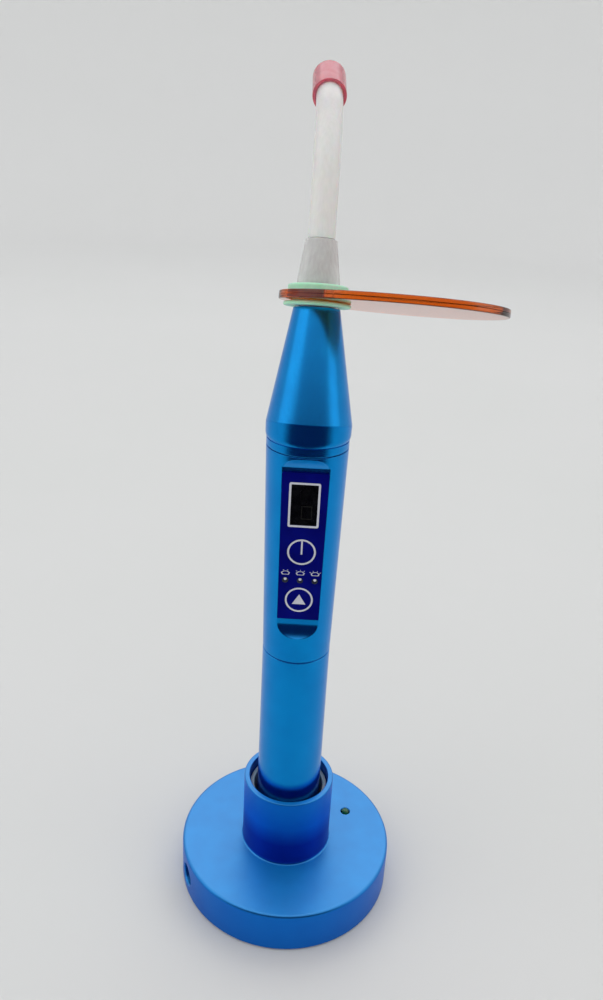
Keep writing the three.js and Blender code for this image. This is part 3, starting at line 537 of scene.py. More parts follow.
# milky polypropylene, a little see-through
MILKY_GREY = finish("milky_grey", 4, (0.42, 0.52, 0.58), (0.55, 0.64, 0.68), fine=0.3,
                    relief=(0.01, 0.4), roughness=0.38, ior=1.49, transmission_weight=0.35,
                    subsurface_weight=0.25, subsurface_scale=0.002)
BLACK = finish("moulded_black", 0.22, (0.012, 0.012, 0.015), (0.028, 0.029, 0.033),
               rough=(0.42, 0.62), relief=(0.015, 0.5), roughness=0.5)
WHITE = finish("white_plastic", 1.5, (0.72, 0.73, 0.76), (0.82, 0.83, 0.85), roughness=0.4)
BOARD = finish("circuit_board", 0.5, (0.008, 0.11, 0.045), (0.015, 0.17, 0.07),
               stretch=(1, 4, 1), relief=(0.01, 0.4), roughness=0.4)
# dark lens of a lamp that is off
GREEN = finish("green_lens", 0.9, (0, 0.07, 0.02), (0.01, 0.2, 0.06), detail=1,
               roughness=0.16, ior=1.5, transmission_weight=0.35, subsurface_weight=0.2,
               subsurface_scale=0.001)
WRAP = finish("cell_wrap", 3, (0.02, 0.3, 0.24), (0.03, 0.38, 0.3), roughness=0.35)
# printed polyester film with a very fine emboss
NAVY = finish("navy_film", 7, (0.0005, 0.0015, 0.12), (0.001, 0.003, 0.16), fine=0.12,
              rough=(0.26, 0.38), relief=(0.004, 0.5), roughness=0.35,
              specular_ior_level=0.03)
INK_WHITE = finish("white_ink", 0.25, (0.52, 0.53, 0.6), (0.64, 0.65, 0.7), roughness=0.5)
SMOKED = finish("smoked_window", 2.5, (0.001, 0.001, 0.002), (0.004, 0.004, 0.005),
                detail=3, rough=(0.06, 0.14), roughness=0.08, specular_ior_level=0.1)
SEGMENTS = finish("unlit_segments", 0.4, (0.003, 0.003, 0.003), (0.012, 0.011, 0.01),
                  roughness=0.35, specular_ior_level=0.2)
# dark olive tint round each mode lamp
SHADE = finish("lamp_shade", 0.5, (0.002, 0.008, 0.02), (0.01, 0.02, 0.02), roughness=0.4)
# the moulded sleeve, with drawn-out flow lines
CLEAR = finish("clear_acrylic", 0.9, (0.86, 0.85, 0.84), (1, 1, 0.99), detail=3,
               stretch=(1, 1, 20), relief=(0.08, 0.6), roughness=0.08, ior=1.42,
               transmission_weight=0.6)
OPTIC = finish("optic", 3, (0.95, 0.96, 0.97), (0.99, 0.99, 0.99), detail=1,
               roughness=0.03, ior=1.5, transmission_weight=1)
# bundle of drawn glass fibres under a smooth skin
ROD = finish("milky_rod", 0.7, (0.94, 0.95, 0.91), (1, 1, 0.97), detail=3,
             stretch=(1, 1, 20), relief=(0.02, 0.4), roughness=0.18, ior=1.45,
             transmission_weight=0.3, subsurface_weight=0.35, subsurface_scale=0.004)
MINT = mint_silicone()
ORANGE = finish("orange_acrylic", 14, (0.76, 0.11, 0.004), (0.82, 0.15, 0.008),
                rough=(0.03, 0.07), roughness=0.04, ior=1.49, transmission_weight=1)
PINK = finish("pink_silicone", 3, (0.87, 0.2, 0.27), (0.93, 0.27, 0.34), fine=0.8,
              relief=(0.02, 0.4), roughness=0.2, ior=1.41, transmission_weight=0.62,
              subsurface_weight=0.3, subsurface_scale=0.003)
RED = finish("red_wire", 1, (0.45, 0.01, 0.01), (0.6, 0.025, 0.02), roughness=0.42)

SLOT_LOOKS = {
    "blue_metal": BLUE, "steel": STEEL, "bare_aluminium": ALUMINIUM, "brass": BRASS,
    "black_rubber": RUBBER, "grey_plastic": MILKY_GREY, "black_plastic": BLACK,
    "white_plastic": WHITE, "circuit_board": BOARD, "green_lamp": GREEN, "cell_wrap": WRAP,
    "label_film": NAVY, "dark_glass": SMOKED, "clear_plastic": OPTIC, "clear_glass": CLEAR,
    "frosted_glass": ROD, "mint_silicone": MINT, "orange_acrylic": ORANGE,
    "pink_silicone": PINK, "red_wire": RED,
}


def paint_cad_nodes():
    """Gives the CAD nodes that stay, which are inside the object, their slot's finish."""
    for part in frame["record"]["subparts"]:
        node = frame["nodes"][part["node"]]
        for material_slot in node.material_slots:
            material_slot.material = SLOT_LOOKS[part["material_slot"]]
        edges = node.modifiers.new("split_edges", "EDGE_SPLIT")
        edges.split_angle = math.radians(30)


# ---- charging base
def on_ring(radius, degrees):
    angle = math.radians(degrees)
    return move(radius * math.cos(angle), radius * math.sin(angle), 0)


def along_jack():
    """Z runs out of the foot along the power jack."""
    return (move(0, 0, JACK.height) @ turn_about(JACK.turn, "Z") @ turn_about(90, "Y"))


def rod(radius, low, high, sides=SMALL_SIDES, edge=0):
    return lathe([(0, low), (radius, low, edge), (radius, high, edge), (0, high)], sides)


def mouth_cutter(radius, low, face, chamfer, past, sides):
    """Cuts a round hole along Z whose mouth in a face is chamfered from just past the face."""
    wide, top = radius + chamfer, face + past
    return lathe([(0, low), (radius, low), (radius, top - chamfer), (wide, top),
                  (wide, face + 1), (0, face + 1)], sides)


def charge_lamp_place():
    low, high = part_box("charge_lamp")
    return move((low.x + high.x) / 2 / MM, (low.y + high.y) / 2 / MM, 0)


def base_housing():
    foot, collar = FOOT, COLLAR
    shell = lathe([
        (foot.plate_seat, foot.underside, 0.2),
        (foot.radius, foot.underside, 0.6),
        (foot.radius, foot.top, foot.edge),
        (collar.radius, foot.top, 0.7),
        (collar.radius, collar.top, 0.55),
        (collar.bore, collar.top, 0.5),
        (collar.bore, collar.ledge_top, 0.2),
        (collar.ledge, collar.ledge_top, 0.2),
        (collar.ledge, foot.ceiling),
        (foot.hollow, foot.ceiling, 0.5),
        (foot.hollow, foot.plate_top, 0.2),
        (foot.plate_seat, foot.plate_top, 0.2),
    ], sides=192)
    screws = [on_ring(SCREW.ring, turn) for turn in SCREW.turns]
    bosses = [moved(rod(SCREW.boss, foot.plate_top, foot.ceiling + 1), at) for at in screws]
    holes = [moved(rod(SCREW.hole, foot.plate_top - 1, SCREW.top), at) for at in screws]
    lamp_hole = mouth_cutter(LAMP.hole, foot.ceiling - 1, foot.top, chamfer=0.4, past=0.15,
                             sides=SMALL_SIDES)
    jack_hole = mouth_cutter(JACK.hole, foot.hollow - 2, foot.radius, chamfer=0.7, past=0.1,
                             sides=64)
    piece("base_shell", shell, "base", BASE_BLUE, ["base_housing"],
          joins=bosses,
          cuts=[*holes, moved(lamp_hole, charge_lamp_place()), moved(jack_hole, along_jack())])


def socket_cup():
    cup = CUP
    solid = lathe([
        (0, cup.low),
        (cup.radius, cup.low, 0.4),
        (cup.radius, cup.top, 0.4),
        (cup.bore, cup.top, 0.4),
        (cup.bore, cup.floor, 0.8),
        (0, cup.floor),
    ])
    holes = [moved(rod(cup.pin_hole, cup.low - 1, cup.floor + 1), move(x, 0, 0))
             for x in (0, cup.pin_side)]
    piece("socket_cup", solid, "base", MILKY_GREY, ["socket_liner"], cuts=holes)


def charge_lamp():
    lamp, at = LAMP, charge_lamp_place()
    foot, top = FOOT.ceiling - 2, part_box("charge_lamp")[1].z / MM
    dome = lathe([(0, foot), (lamp.radius, foot, 0.1), (lamp.radius, top - lamp.shoulder, 0.5),
                  (lamp.radius * 0.72, top - 0.12, 0.8), (0, top)], sides=32)
    legs = [box_solid((x - lamp.leg_half, -lamp.leg_half, lamp.leg_foot),
                      (x + lamp.leg_half, lamp.leg_half, foot + 0.5))
            for x in (-lamp.leg_side, lamp.leg_side)]
    piece("charge_lamp_lens", dome, "base", GREEN, ["charge_lamp"],
          place=at, joins=[moved(leg, at) for leg in legs])


def power_jack():
    jack = JACK
    at = along_jack()
    body = box_solid((-jack.above, -jack.half_wide, jack.body_back),
                     (jack.below, jack.half_wide, jack.body_front))
    barrel = rod(jack.barrel, jack.body_front - 1, jack.front, edge=0.3)
    bore = rod(jack.bore, jack.bore_foot, jack.front + 1)
    piece("power_jack", body, "base", BLACK, ["dc_jack"], place=at,
          joins=[moved(barrel, at)], cuts=[moved(bore, at)])
    foot, tip = jack.bore_foot + GAP, jack.front - 0.8
    pin = lathe([(0, foot), (jack.pin, foot), (jack.pin, tip, 0.5), (0, tip)], sides=32)
    piece("power_jack_pin", pin, "base", STEEL, ["dc_jack_pin"], place=at)


def charging_pins():
    pin = PIN
    for name, x in (("charge_pin_centre", 0), ("charge_pin_side", CUP.pin_side)):
        low, high = (corner.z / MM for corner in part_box(name))
        solid = lathe([(0, low), (pin.radius, low), (pin.radius, pin.flange_low),
                       (pin.flange, pin.flange_low, 0.2), (pin.flange, pin.flange_high, 0.2),
                       (pin.radius, pin.flange_high), (pin.radius, high, 0.7), (0, high)],
                      sides=32)
        piece(name + "_tip", solid, name, BRASS, [name], place=move(x, 0, 0))


def foot_pad():
    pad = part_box("foot_pad")
    radius, top = pad[1].x / MM, pad[1].z / MM
    solid = lathe([(0, 0), (radius, 0, 0.4), (radius, top, 0.2), (0, top)])
    piece("rubber_pad", solid, "base", RUBBER, ["foot_pad"])


# ---- tail
def tail_tube():
    tail = TAIL
    solid = lathe([
        (tail.lip, tail.bottom, 0.2),
        (tail.radius, tail.bottom, 0.9),
        (tail.radius, tail.top, 0.25),
        (tail.spigot_bore, tail.top, 0.2),
        (tail.spigot_bore, tail.spigot_foot, 0.2),
        (tail.bore, tail.spigot_foot, 0.2),
        (tail.bore, tail.plug_seat, 0.2),
        (tail.lip, tail.plug_seat, 0.2),
    ])
    piece("tail_sleeve", solid, "tail", BLUE, ["tail_tube"])


# ---- barrel
def barrel_radius(height):
    share = (height - BARREL.foot) / (BARREL.top - BARREL.foot)
    return BARREL.foot_radius + (BARREL.top_radius - BARREL.foot_radius) * share


def run_out(height, depth, start, tip, straight=0):
    """Depth of the cutter's arc that leads from an end of the flat out to the round surface.

    Straight is how far the arc is drawn towards a plain ramp, from 0 to 1.
    """
    reach, rise = tip - start, barrel_radius(tip) - depth
    radius = (reach ** 2 + rise ** 2) / (2 * rise)
    arc = depth + radius - math.sqrt(radius ** 2 - (height - start) ** 2)
    ramp = depth + rise * (height - start) / reach
    return arc + (ramp - arc) * straight


def flat_depth(height):
    """Distance of the milled flat, or of its run-outs, from the barrel's axis."""
    panel = PANEL
    if not panel.tip_bottom <= height <= panel.tip_top:
        return barrel_radius(height)
    if height < panel.bottom:
        return run_out(height, panel.depth_bottom, panel.bottom, panel.tip_bottom)
    if height > panel.top:
        return run_out(height, panel.depth_top, panel.top, panel.tip_top, panel.straight)
    share = (height - panel.bottom) / (panel.top - panel.bottom)
    return panel.depth_bottom + (panel.depth_top - panel.depth_bottom) * share


FLAT_STEPS, EASE_STEPS, ARC_STEPS = 8, 4, 44
NO_FLAT = 0.02  # half the angle of a flat, in radians, that is too narrow to draw
EASE_SHARE = 0.45  # most of half the flat that its eased corner takes


def barrel_half_ring(height, radius):
    """Points from the middle of the panel side to the back, with x at or above 0."""
    def round_point(a):
        return Vector((radius * math.sin(a), -radius * math.cos(a), height))

    depth = min(flat_depth(height), radius)
    half_angle = math.acos(depth / radius)
    if half_angle < NO_FLAT:
        # no flat here: the same number of points, drawn together near the front
        steps = FLAT_STEPS + EASE_STEPS + ARC_STEPS
        return [round_point(math.pi * (i / steps) ** 1.25) for i in range(steps + 1)]
    corner = Vector((radius * math.sin(half_angle), -depth, height))
    ease = min(PANEL.corner, EASE_SHARE * corner.x)
    flat_end = Vector((corner.x - ease, -depth, height))
    arc_start = half_angle + ease / radius
    arc_end = round_point(arc_start)
    points = [Vector((flat_end.x * i / FLAT_STEPS, -depth, height)) for i in range(FLAT_STEPS)]
    for i in range(EASE_STEPS):
        t = i / EASE_STEPS
        points.append((1 - t) ** 2 * flat_end + 2 * t * (1 - t) * corner + t * t * arc_end)
    for i in range(ARC_STEPS + 1):
        points.append(round_point(arc_start + (math.pi - arc_start) * i / ARC_STEPS))
    return points


def barrel_ring(height, radius):
    half = barrel_half_ring(height, radius)
    mirrored = [Vector((-p.x, p.y, p.z)) for p in reversed(half[1:-1])]
    return half + mirrored


def run_out_heights(tip, start, steps=20):
    """Heights from a run-out's tip to the flat, closer together at the round tip."""
    return [tip + (start - tip) * (i / steps) ** 2 for i in range(steps + 1)]


def barrel_heights():
    panel = PANEL
    low = run_out_heights(panel.tip_bottom, panel.bottom)
    high = run_out_heights(panel.tip_top, panel.top)[::-1]
    flat = [panel.bottom + (panel.top - panel.bottom) * i / 10 for i in range(1, 10)]
    return low + flat + high


def barrel():
    foot, top = BARREL.foot, BARREL.top
    side_low, side_high = foot + 4, top - 0.38
    low_edge = rounded([(SPIGOT.radius, foot), (BARREL.foot_radius, foot, 0.25),
                        (barrel_radius(side_low), side_low)])
    high_edge = rounded([(barrel_radius(side_high), side_high), (BARREL.top_radius, top, 0.17),
                         (HEAD_SEAT.radius, top)])
    inside = [
        (HEAD_SEAT.radius, HEAD_SEAT.bottom),
        (BARREL.bore, HEAD_SEAT.bottom),
        (BARREL.bore, BARREL.bore_foot),
        (SPIGOT.bore, BARREL.bore_foot),
        (SPIGOT.bore, SPIGOT.bottom),
        (SPIGOT.radius, SPIGOT.bottom),
        (SPIGOT.radius, SPIGOT.groove_low),
        (SPIGOT.groove_radius, SPIGOT.groove_low),
        (SPIGOT.groove_radius, SPIGOT.groove_high),
        (SPIGOT.radius, SPIGOT.groove_high),
    ]
    rings = [barrel_ring(height, radius) for radius, height in low_edge]
    rings += [barrel_ring(height, barrel_radius(height)) for height in barrel_heights()]
    rings += [barrel_ring(height, radius) for radius, height in high_edge]
    count = len(rings[0])
    for radius, height in inside:
        ring = circle(radius, height, count)
        rings.append([turn_about(-90, "Z") @ p for p in ring])
    window = box_solid((-WINDOW.half_wide, WINDOW.low, -WINDOW.deep),
                       (WINDOW.half_wide, WINDOW.high, 1))
    piece("barrel_body", skin(rings, looped=True), "handpiece", BLUE, ["barrel"],
          cuts=[moved(window, PANEL_AT)])


# ---- control panel
def label_outline():
    """The label narrows downwards, as the flat does."""
    low, high, corner = LABEL.bottom_wide / 2, LABEL.top_wide / 2, LABEL.corner
    foot, top = LABEL.foot, LABEL.top
    return rounded([(low, foot, corner), (high, top, corner), (-high, top, corner),
                    (-low, foot, corner)], closed=True)


def panel_label():
    clear = 0.08
    holes = [rectangle_outline(DISPLAY.wide + clear, DISPLAY.tall + clear,
                               DISPLAY.corner, DISPLAY.up)]
    holes += [disc_outline(KEY.radius + clear, 0, up, 64) for up in KEY_PLACES.values()]
    holes += [disc_outline(MODE_LAMP.radius + clear, side * MODE_LAMP.pitch, MODE_LAMP.up, 24)
              for side in MODE_LAMPS.values()]
    solid = outline_solid(label_outline(), holes, LABEL.low, LABEL.high)
    piece("label_film_sheet", solid, "handpiece", NAVY, ["panel_label"],
          place=PANEL_AT)


def display():
    outline = rectangle_outline(DISPLAY.wide, DISPLAY.tall, DISPLAY.corner, DISPLAY.up)
    solid = outline_solid(outline, [], LABEL.low, LABEL.high - DISPLAY.sunk, DISPLAY.bevel)
    piece("display_window", solid, "handpiece", SMOKED, ["display_glass"],
          place=PANEL_AT)


def keys():
    for name, up in KEY_PLACES.items():
        low, high = LABEL.low, LABEL.high
        solid = lathe([
            (0, -KEY.stem_deep),
            (KEY.stem, -KEY.stem_deep, 0.1),
            (KEY.stem, low),
            (KEY.radius, low, 0.05),
            (KEY.radius, high, 0.12),
            (0, high),
        ], sides=96)
        piece(name + "_cap", solid, name, NAVY, [name],
              place=PANEL_AT @ move(0, up, 0))


def ink(name, loops, body, up=0, across=0, look=INK_WHITE):
    """Printed marks: each loop is an outline and its holes."""
    high = LABEL.high
    solids = [outline_solid(outline, holes, high, high + INK) for outline, holes in loops]
    piece(name, join_solids(*solids), body, look,
          place=PANEL_AT @ move(across, up, 0))


def lamp_sign(scale):
    shape = ((-1.5, 0.05), (-1.1, -0.7), (1.1, -0.7), (1.5, 0.05), (0.65, 0.7), (-0.65, 0.7))
    return [(x * scale, y * scale) for x, y in shape]


def mode_icon(rays):
    """A lamp sign over each mode lamp, with one more ray for a stronger mode."""
    hollow, between = 0.76, 42  # the sign's inner edge, and degrees between two rays
    loops = [(lamp_sign(1), [lamp_sign(hollow)])]
    for i in range(rays):
        angle = math.radians(90 + between * (i - (rays - 1) / 2))
        way = Vector((1.35 * math.cos(angle), 0.8 * math.sin(angle)))
        side = Vector((-way.y, way.x)).normalized() * 0.08
        inner, outer = way * 1.2, way * 1.6
        corners = (inner - side, outer - side, outer + side, inner + side)
        loops.append(([tuple(c) for c in corners], []))
    return loops


def printing():
    clear, line = 0.1, 2 * DISPLAY.line
    wide, tall, up = DISPLAY.wide + clear, DISPLAY.tall + clear, DISPLAY.up
    outside = rectangle_outline(wide + line, tall + line, 0.7, up)
    ink("print_display_frame", [(outside, [rectangle_outline(wide, tall, 0.25, up)])],
        "handpiece")
    ring = (disc_outline(4.72, sides=96), [disc_outline(4.12, sides=96)])
    stroke = rectangle_outline(wide=0.55, tall=5.1, corner=0, up=1.7)
    ink("print_power_sign", [ring, (stroke, [])], "power_key", KEY_PLACES["power_key"])
    arrow = [(-2.3, -1.7), (2.3, -1.7), (0, 2.15)]
    ink("print_mode_sign", [ring, (arrow, [])], "mode_key", KEY_PLACES["mode_key"])
    digit = rectangle_outline(3.6, 4.8, corner=0.3), [rectangle_outline(2.9, 4.1, corner=0.2)]
    ink("print_unlit_digit", [digit], "handpiece", up - 2.6, across=0.9, look=SEGMENTS)
    shade = (disc_outline(1.05, y=-0.35, sides=32),
             [disc_outline(MODE_LAMP.radius + 0.08, sides=24)])
    for name, side in MODE_LAMPS.items():
        across = side * MODE_LAMP.pitch
        ink("print_icon_" + name, mode_icon(3 + side), "handpiece", MODE_LAMP.up + 2.45, across)
        ink("print_shade_" + name, [shade], "handpiece", MODE_LAMP.up, across, SHADE)


def mode_lamps():
    for name, side in MODE_LAMPS.items():
        solid = lathe([(0, MODE_LAMP.low), (MODE_LAMP.radius, MODE_LAMP.low),
                       (MODE_LAMP.radius, MODE_LAMP.high, 0.2), (0, MODE_LAMP.high)],
                      sides=24)
        place = PANEL_AT @ move(side * MODE_LAMP.pitch, MODE_LAMP.up, 0)
        piece("mode_light_" + name, solid, "handpiece", WHITE,
              ["mode_lamp_" + name], place=place)


# ---- angled head
def cone_radius(along):
    share = (along - HEAD.crease) / (HEAD.top - HEAD.crease)
    return HEAD.crease_radius + (HEAD.top_radius - HEAD.crease_radius) * share


def head_ring(radius, along):
    return [HEAD_AT @ p for p in circle(radius, along, SIDES)]


def band_ring(radius, lift=0):
    """The line around the head where its band begins, a little higher in front."""
    return [Vector((p.x, p.y, BAND.foot - BAND.rise * p.y + lift))
            for p in circle(radius, 0, SIDES)]


def band_rings(crest, steps=16):
    """The band between that line and the crest, tucked in along its lower edge."""
    rings = []
    for share in (i / steps for i in range(steps)):
        rounding = max(0, 1 - share / BAND.round)
        squeeze = 1 - BAND.tuck * rounding ** 2 / BAND.radius
        ring = [low.lerp(high, share) for low, high in zip(band_ring(BAND.radius), crest)]
        rings.append([Vector((p.x * squeeze, p.y * squeeze, p.z)) for p in ring])
    return rings


def mitre_ring(radius, lift):
    """A round section of the upright stub, cut by the mitre plane."""
    axis = joint_axis("guide_turn")
    normal = (axis + Vector((0, 0, 1))).normalized()
    ring = []
    for p in circle(radius, 0, SIDES):
        height = HEAD.mitre - (normal.x * p.x + normal.y * p.y) / normal.z
        ring.append(Vector((p.x, p.y, height + lift)))
    return ring


def head_shell():
    foot = BARREL.top + GAP
    seat = HEAD_SEAT.radius - GAP
    radius = BARREL.top_radius
    edge = rounded([(seat, foot), (radius, foot, 0.2), (radius, foot + 1)])
    rings = [circle(r, z, SIDES) for r, z in edge]
    groove_floor = radius - BAND.groove
    rings += [band_ring(radius, -BAND.groove_low), band_ring(groove_floor, -BAND.groove_floor),
              band_ring(groove_floor)]
    crease, line = HEAD.crease, 0.12  # the line cut round the crease is this deep
    crest = crease - line
    rings += band_rings(head_ring(HEAD.crease_radius, crest))
    outline = rounded([
        (HEAD.crease_radius, crest),
        (HEAD.crease_radius - line, crease - 0.1),
        (HEAD.crease_radius - line, crease + 0.06),
        (cone_radius(crease + 0.1), crease + 0.1, 0.05),
        (HEAD.top_radius, HEAD.top, 0.45),
        (HEAD.bore, HEAD.top, 0.25),
        (HEAD.bore, HEAD.bore_foot),
        (cone_radius(HEAD.bore_foot) - HEAD.wall, HEAD.bore_foot),
        (HEAD.crease_radius - HEAD.wall, crease),
        (cone_radius(HEAD.cavity_foot) - HEAD.wall - 0.4, HEAD.cavity_foot),
    ])
    rings += [head_ring(r, s) for r, s in outline]
    rings.append(mitre_ring(HEAD_SEAT.wireway, 2))
    rings.append(circle(HEAD_SEAT.wireway, HEAD_SEAT.bottom + GAP, SIDES))
    rings.append(circle(seat, HEAD_SEAT.bottom + GAP, SIDES))
    piece("head_body", skin(rings, looped=True), "handpiece", BLUE, ["head_shell"])


# ---- light guide
def guide_ferrule():
    guide = GUIDE
    solid = lathe([
        (guide.bore, guide.foot, 0.1),
        (guide.shank, guide.foot, 0.4),
        (guide.shank, guide.groove_low),
        (guide.groove_floor, guide.groove_low),
        (guide.groove_floor, guide.groove_high),
        (guide.shank, guide.groove_high),
        (guide.shank, guide.shoulder_foot, 0.1),
        (guide.shoulder, guide.shoulder_foot, 0.2),
        (guide.shoulder, guide.taper_foot, 0.6),
        (guide.top_radius, guide.ferrule_top, 0.2),
        (guide.bore, guide.ferrule_top, 0.15),
    ], sides=96)
    piece("clear_sleeve", solid, "light_guide", CLEAR, ["guide_ferrule"],
          place=HEAD_AT)


def guide_line(along):
    """Point and direction of the rod's middle line at a length along it, in the guide's frame."""
    bend = GUIDE.bend_radius
    past = along - GUIDE.bend_start
    if past <= 0:
        return Vector((0, 0, along)), Vector((0, 0, 1))
    full = math.radians(GUIDE.bend_angle)
    angle = min(past / bend, full)
    beyond = max(past - bend * full, 0)
    direction = Vector((0, math.sin(angle), math.cos(angle)))
    turned = Vector((0, bend * (1 - math.cos(angle)), GUIDE.bend_start + bend * math.sin(angle)))
    return turned + direction * beyond, direction


def guide_end():
    return (GUIDE.bend_start + GUIDE.bend_radius * math.radians(GUIDE.bend_angle)
            + GUIDE.inside_cap)


def guide_ring(radius, along):
    centre, direction = guide_line(along)
    across = Vector((1, 0, 0))
    side = direction.cross(across)
    return [centre + p.x * across + p.y * side for p in circle(radius, 0, sides=72)]


def light_guide():
    guide = GUIDE
    end = guide_end()
    start = guide.ferrule_top + GAP
    chamfer, ease = 0.2, 0.15
    rings = [guide_ring(r, s) for s, r in (
        (guide.foot, guide.core - chamfer), (guide.foot + chamfer, guide.core),
        (start - 0.05, guide.core), (start, guide.rod - ease), (start + ease, guide.rod))]
    first, last, steps = start + 1, end - chamfer, 60
    rings += [guide_ring(guide.rod, first + (last - first) * i / steps)
              for i in range(steps + 1)]
    rings.append(guide_ring(guide.rod - chamfer, end))
    piece("guide_rod", capped(rings), "light_guide", ROD, ["light_guide"],
          place=GUIDE_AT)


def tip_cap():
    cap = CAP
    origin, direction = guide_line(guide_end() - GUIDE.inside_cap)
    place = GUIDE_AT @ Matrix.Translation(origin) @ turn_about(-GUIDE.bend_angle, "X")
    solid = lathe([
        (0, cap.length - cap.end),
        (cap.bore, cap.length - cap.end, 0.3),
        (cap.bore, 0, 0.12),
        (cap.radius, 0, 0.2),
        (cap.radius, cap.length, 0.9),
        (0, cap.length),
    ], sides=96)
    piece("tip_cap_sleeve", solid, "tip_cap", PINK, ["tip_cap"], place=place)


# ---- eye shield
def shield_grip():
    grip = GRIP
    solid = lathe([
        (grip.bore, grip.low, 0.25),
        (grip.wide, grip.low, 0.55),
        (grip.wide, grip.low_top, 0.55),
        (grip.neck, grip.low_top, 0.15),
        (grip.neck, grip.high_foot, 0.15),
        (grip.narrow, grip.high_foot, 0.3),
        (grip.narrow, grip.high, 0.8),
        (grip.bore, grip.high, 0.3),
    ], sides=96)
    piece("soft_collar", solid, "shield", MINT, ["shield_grip"], place=HEAD_AT)


def shield_outline(inset, count):
    """The egg-shaped edge, drawn in by inset."""
    middle = (SHIELD.far - SHIELD.near) / 2
    half_long = (SHIELD.far + SHIELD.near) / 2
    points = []
    for i in range(count):
        t = 2 * math.pi * i / count
        swell = 1 + SHIELD.swell * math.cos(t)
        point = Vector((middle + half_long * math.cos(t),
                        SHIELD.half_wide * swell * math.sin(t)))
        inward = Vector((-math.cos(t) / half_long, -math.sin(t) / SHIELD.half_wide))
        points.append(point + inward.normalized() * inset)
    return points


def shield():
    half, rim, count = SHIELD.thick / 2, 3, 144
    seam, deep = 0.1, 0.12  # the moulding's parting line round the edge
    edge = rounded([(-rim, -half), (0, -half, SHIELD.round), (0, -seam), (-deep, 0), (0, seam),
                    (0, half, SHIELD.round), (-rim, half)])
    rings = [[Vector((p.x, p.y, height)) for p in shield_outline(-out, count)]
             for out, height in edge]
    rings += [circle(SHIELD.hole, height, count) for height in (half, -half)]
    place = (HEAD_AT @ move(0, 0, (GRIP.low_top + GRIP.high_foot) / 2)
             @ turn_about(SHIELD.droop, "Y"))
    piece("shield_plate", skin(rings, looped=True), "shield", ORANGE,
          ["shield"], place=place)


# ---- floor, lights and camera
def studio_floor():
    """A round pale sweep: a flat floor that curves up into a low wall."""
    flat, bend, tall, steps = 1900, 700, 1700, 12
    profile = [(0, 0), (flat, 0)]
    for i in range(1, steps + 1):
        a = math.pi / 2 * i / steps
        profile.append((flat + bend * math.sin(a), bend * (1 - math.cos(a))))
    profile.append((flat + bend, tall))
    rings = [circle(r, z, sides=96) for r, z in profile]
    floor = mesh_object("studio_floor", skin(rings))
    floor.data.shade_smooth()
    paint = Paint("pale_floor", roughness=0.7)
    haze = paint.noise(260, detail=2)
    near = paint.mix(paint.spread(haze, 0, 1), (0.685, 0.69, 0.675, 1), (0.7, 0.7, 0.69, 1))
    # painted light: the floor and wall are painted lighter from 0.7 m out to 3 m, making up for the dimmer light
    # far out
    paint.colour(paint.spread(paint.distance(), 0, 1, 700, 3000), near, (0.87, 0.87, 0.86, 1))
    floor.data.materials.append(paint.material)


def soft_light(name, place, target, wide, tall, power):
    """A white softbox; its place and sizes are in metres."""
    lamp = bpy.data.lights.new(name, "AREA")
    lamp.shape = "RECTANGLE"
    lamp.size, lamp.size_y = wide, tall
    lamp.energy = power
    thing = add(name, lamp)
    thing.location = place
    thing.rotation_euler = (Vector(target) - Vector(place)).to_track_quat("-Z", "Y").to_euler()


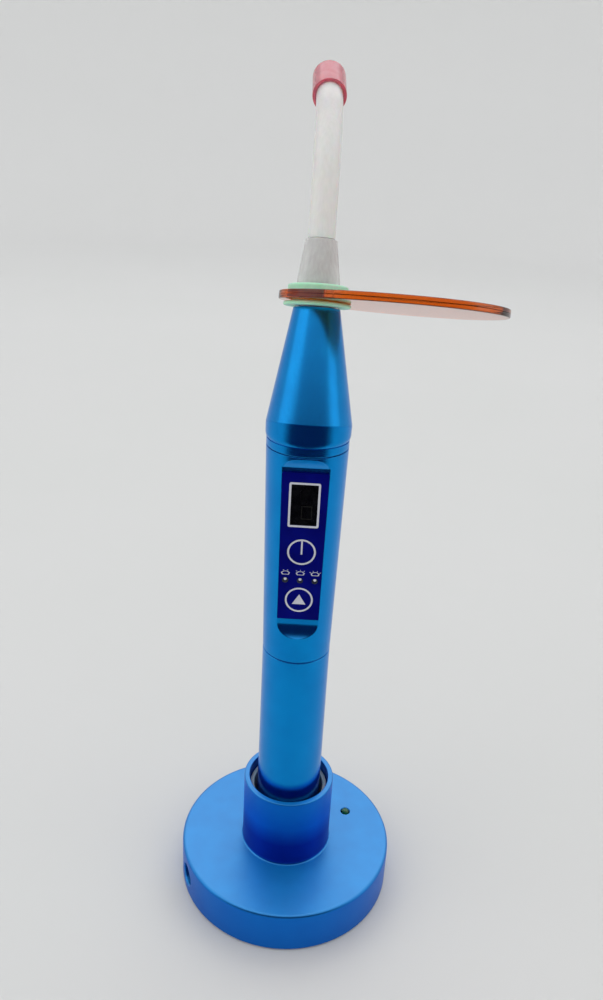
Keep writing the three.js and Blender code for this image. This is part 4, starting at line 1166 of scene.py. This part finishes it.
def painted_reflection_card():
    """A soft-edged black sheet in front, seen only in reflections: a painted dark reflection of the shaded space
    in front of the object.
    """
    place, reach, top = -220, 560, 440
    full_reach, full_foot, full_top = 230, 12, 260  # the flag is opaque inside these
    sheet = [Vector((x, place, z)) for x, z in ((-reach, 1), (reach, 1), (reach, top),
                                                (-reach, top))]
    flag = mesh_object("painted_reflection_card", (sheet, [(0, 1, 2, 3)]))
    # painted reflection: near-black, seen only by glossy rays
    paint = Paint("painted_reflection_black", roughness=0.9)
    mottle = paint.noise(3, detail=2)
    paint.colour(paint.spread(mottle, 0, 1), (0.004, 0.003, 0.006, 1), (0.007, 0.005, 0.01, 1))
    across, up = paint.along("X"), paint.along("Z")
    edges = (paint.spread(across, 0, 1, -reach, -full_reach),
             paint.spread(across, 1, 0, full_reach, reach),
             paint.spread(up, 0, 1, 0, full_foot), paint.spread(up, 1, 0, full_top, top))
    paint.drive("Alpha", paint.product(*edges))
    flag.data.materials.append(paint.material)
    flag.visible_camera = False
    flag.visible_diffuse = False
    flag.visible_transmission = False
    flag.visible_shadow = False


def lights():
    world = bpy.data.worlds.new("studio")
    world.use_nodes = True
    sky = world.node_tree.nodes["Background"]
    sky.inputs["Color"].default_value = (0.97, 0.98, 1, 1)
    sky.inputs["Strength"].default_value = 0.9
    bpy.context.scene.world = world
    middle = (0, 0, 0.12)
    soft_light("softbox_top", (0.1, 0.9, 1.35), middle, 1.5, 1.1, 4)
    soft_light("softbox_left", (-1.0, -0.35, 0.75), middle, 1.0, 1.2, 1.9)
    soft_light("softbox_right", (1.05, -0.25, 0.7), middle, 0.6, 0.9, 0.8)


CAMERA = Sizes(place=(0, -257.86, 274.65), yaw=-0.22, pitch=23.49, roll=3.17, sensor=36,
               lens=30.27276)


def camera():
    """Camera in front and above, looking down by pitch, turned by yaw and rolled."""
    data = bpy.data.cameras.new("camera")
    data.sensor_fit = "AUTO"
    data.sensor_width = CAMERA.sensor
    data.lens = CAMERA.lens
    data.clip_start, data.clip_end = 0.01, 20
    yaw, pitch, roll = map(math.radians, (CAMERA.yaw, CAMERA.pitch, CAMERA.roll))
    forward = Vector((math.sin(yaw) * math.cos(pitch), math.cos(yaw) * math.cos(pitch),
                      -math.sin(pitch)))
    level = Vector((math.cos(yaw), -math.sin(yaw), 0))
    upright = level.cross(forward)
    right = math.cos(roll) * level + math.sin(roll) * upright
    up = -math.sin(roll) * level + math.cos(roll) * upright
    matrix = Matrix((right, up, -forward)).transposed().to_4x4()
    matrix.translation = Vector(CAMERA.place) * MM
    thing = add("camera", data)
    thing.matrix_world = matrix
    bpy.context.scene.camera = thing


# ---- the whole scene
paint_cad_nodes()
base_housing()
socket_cup()
charge_lamp()
power_jack()
charging_pins()
foot_pad()
tail_tube()
barrel()
panel_label()
display()
keys()
printing()
mode_lamps()
head_shell()
guide_ferrule()
light_guide()
tip_cap()
shield_grip()
shield()
studio_floor()
painted_reflection_card()
lights()
camera()
bpy.context.scene.view_settings.view_transform = "Standard"
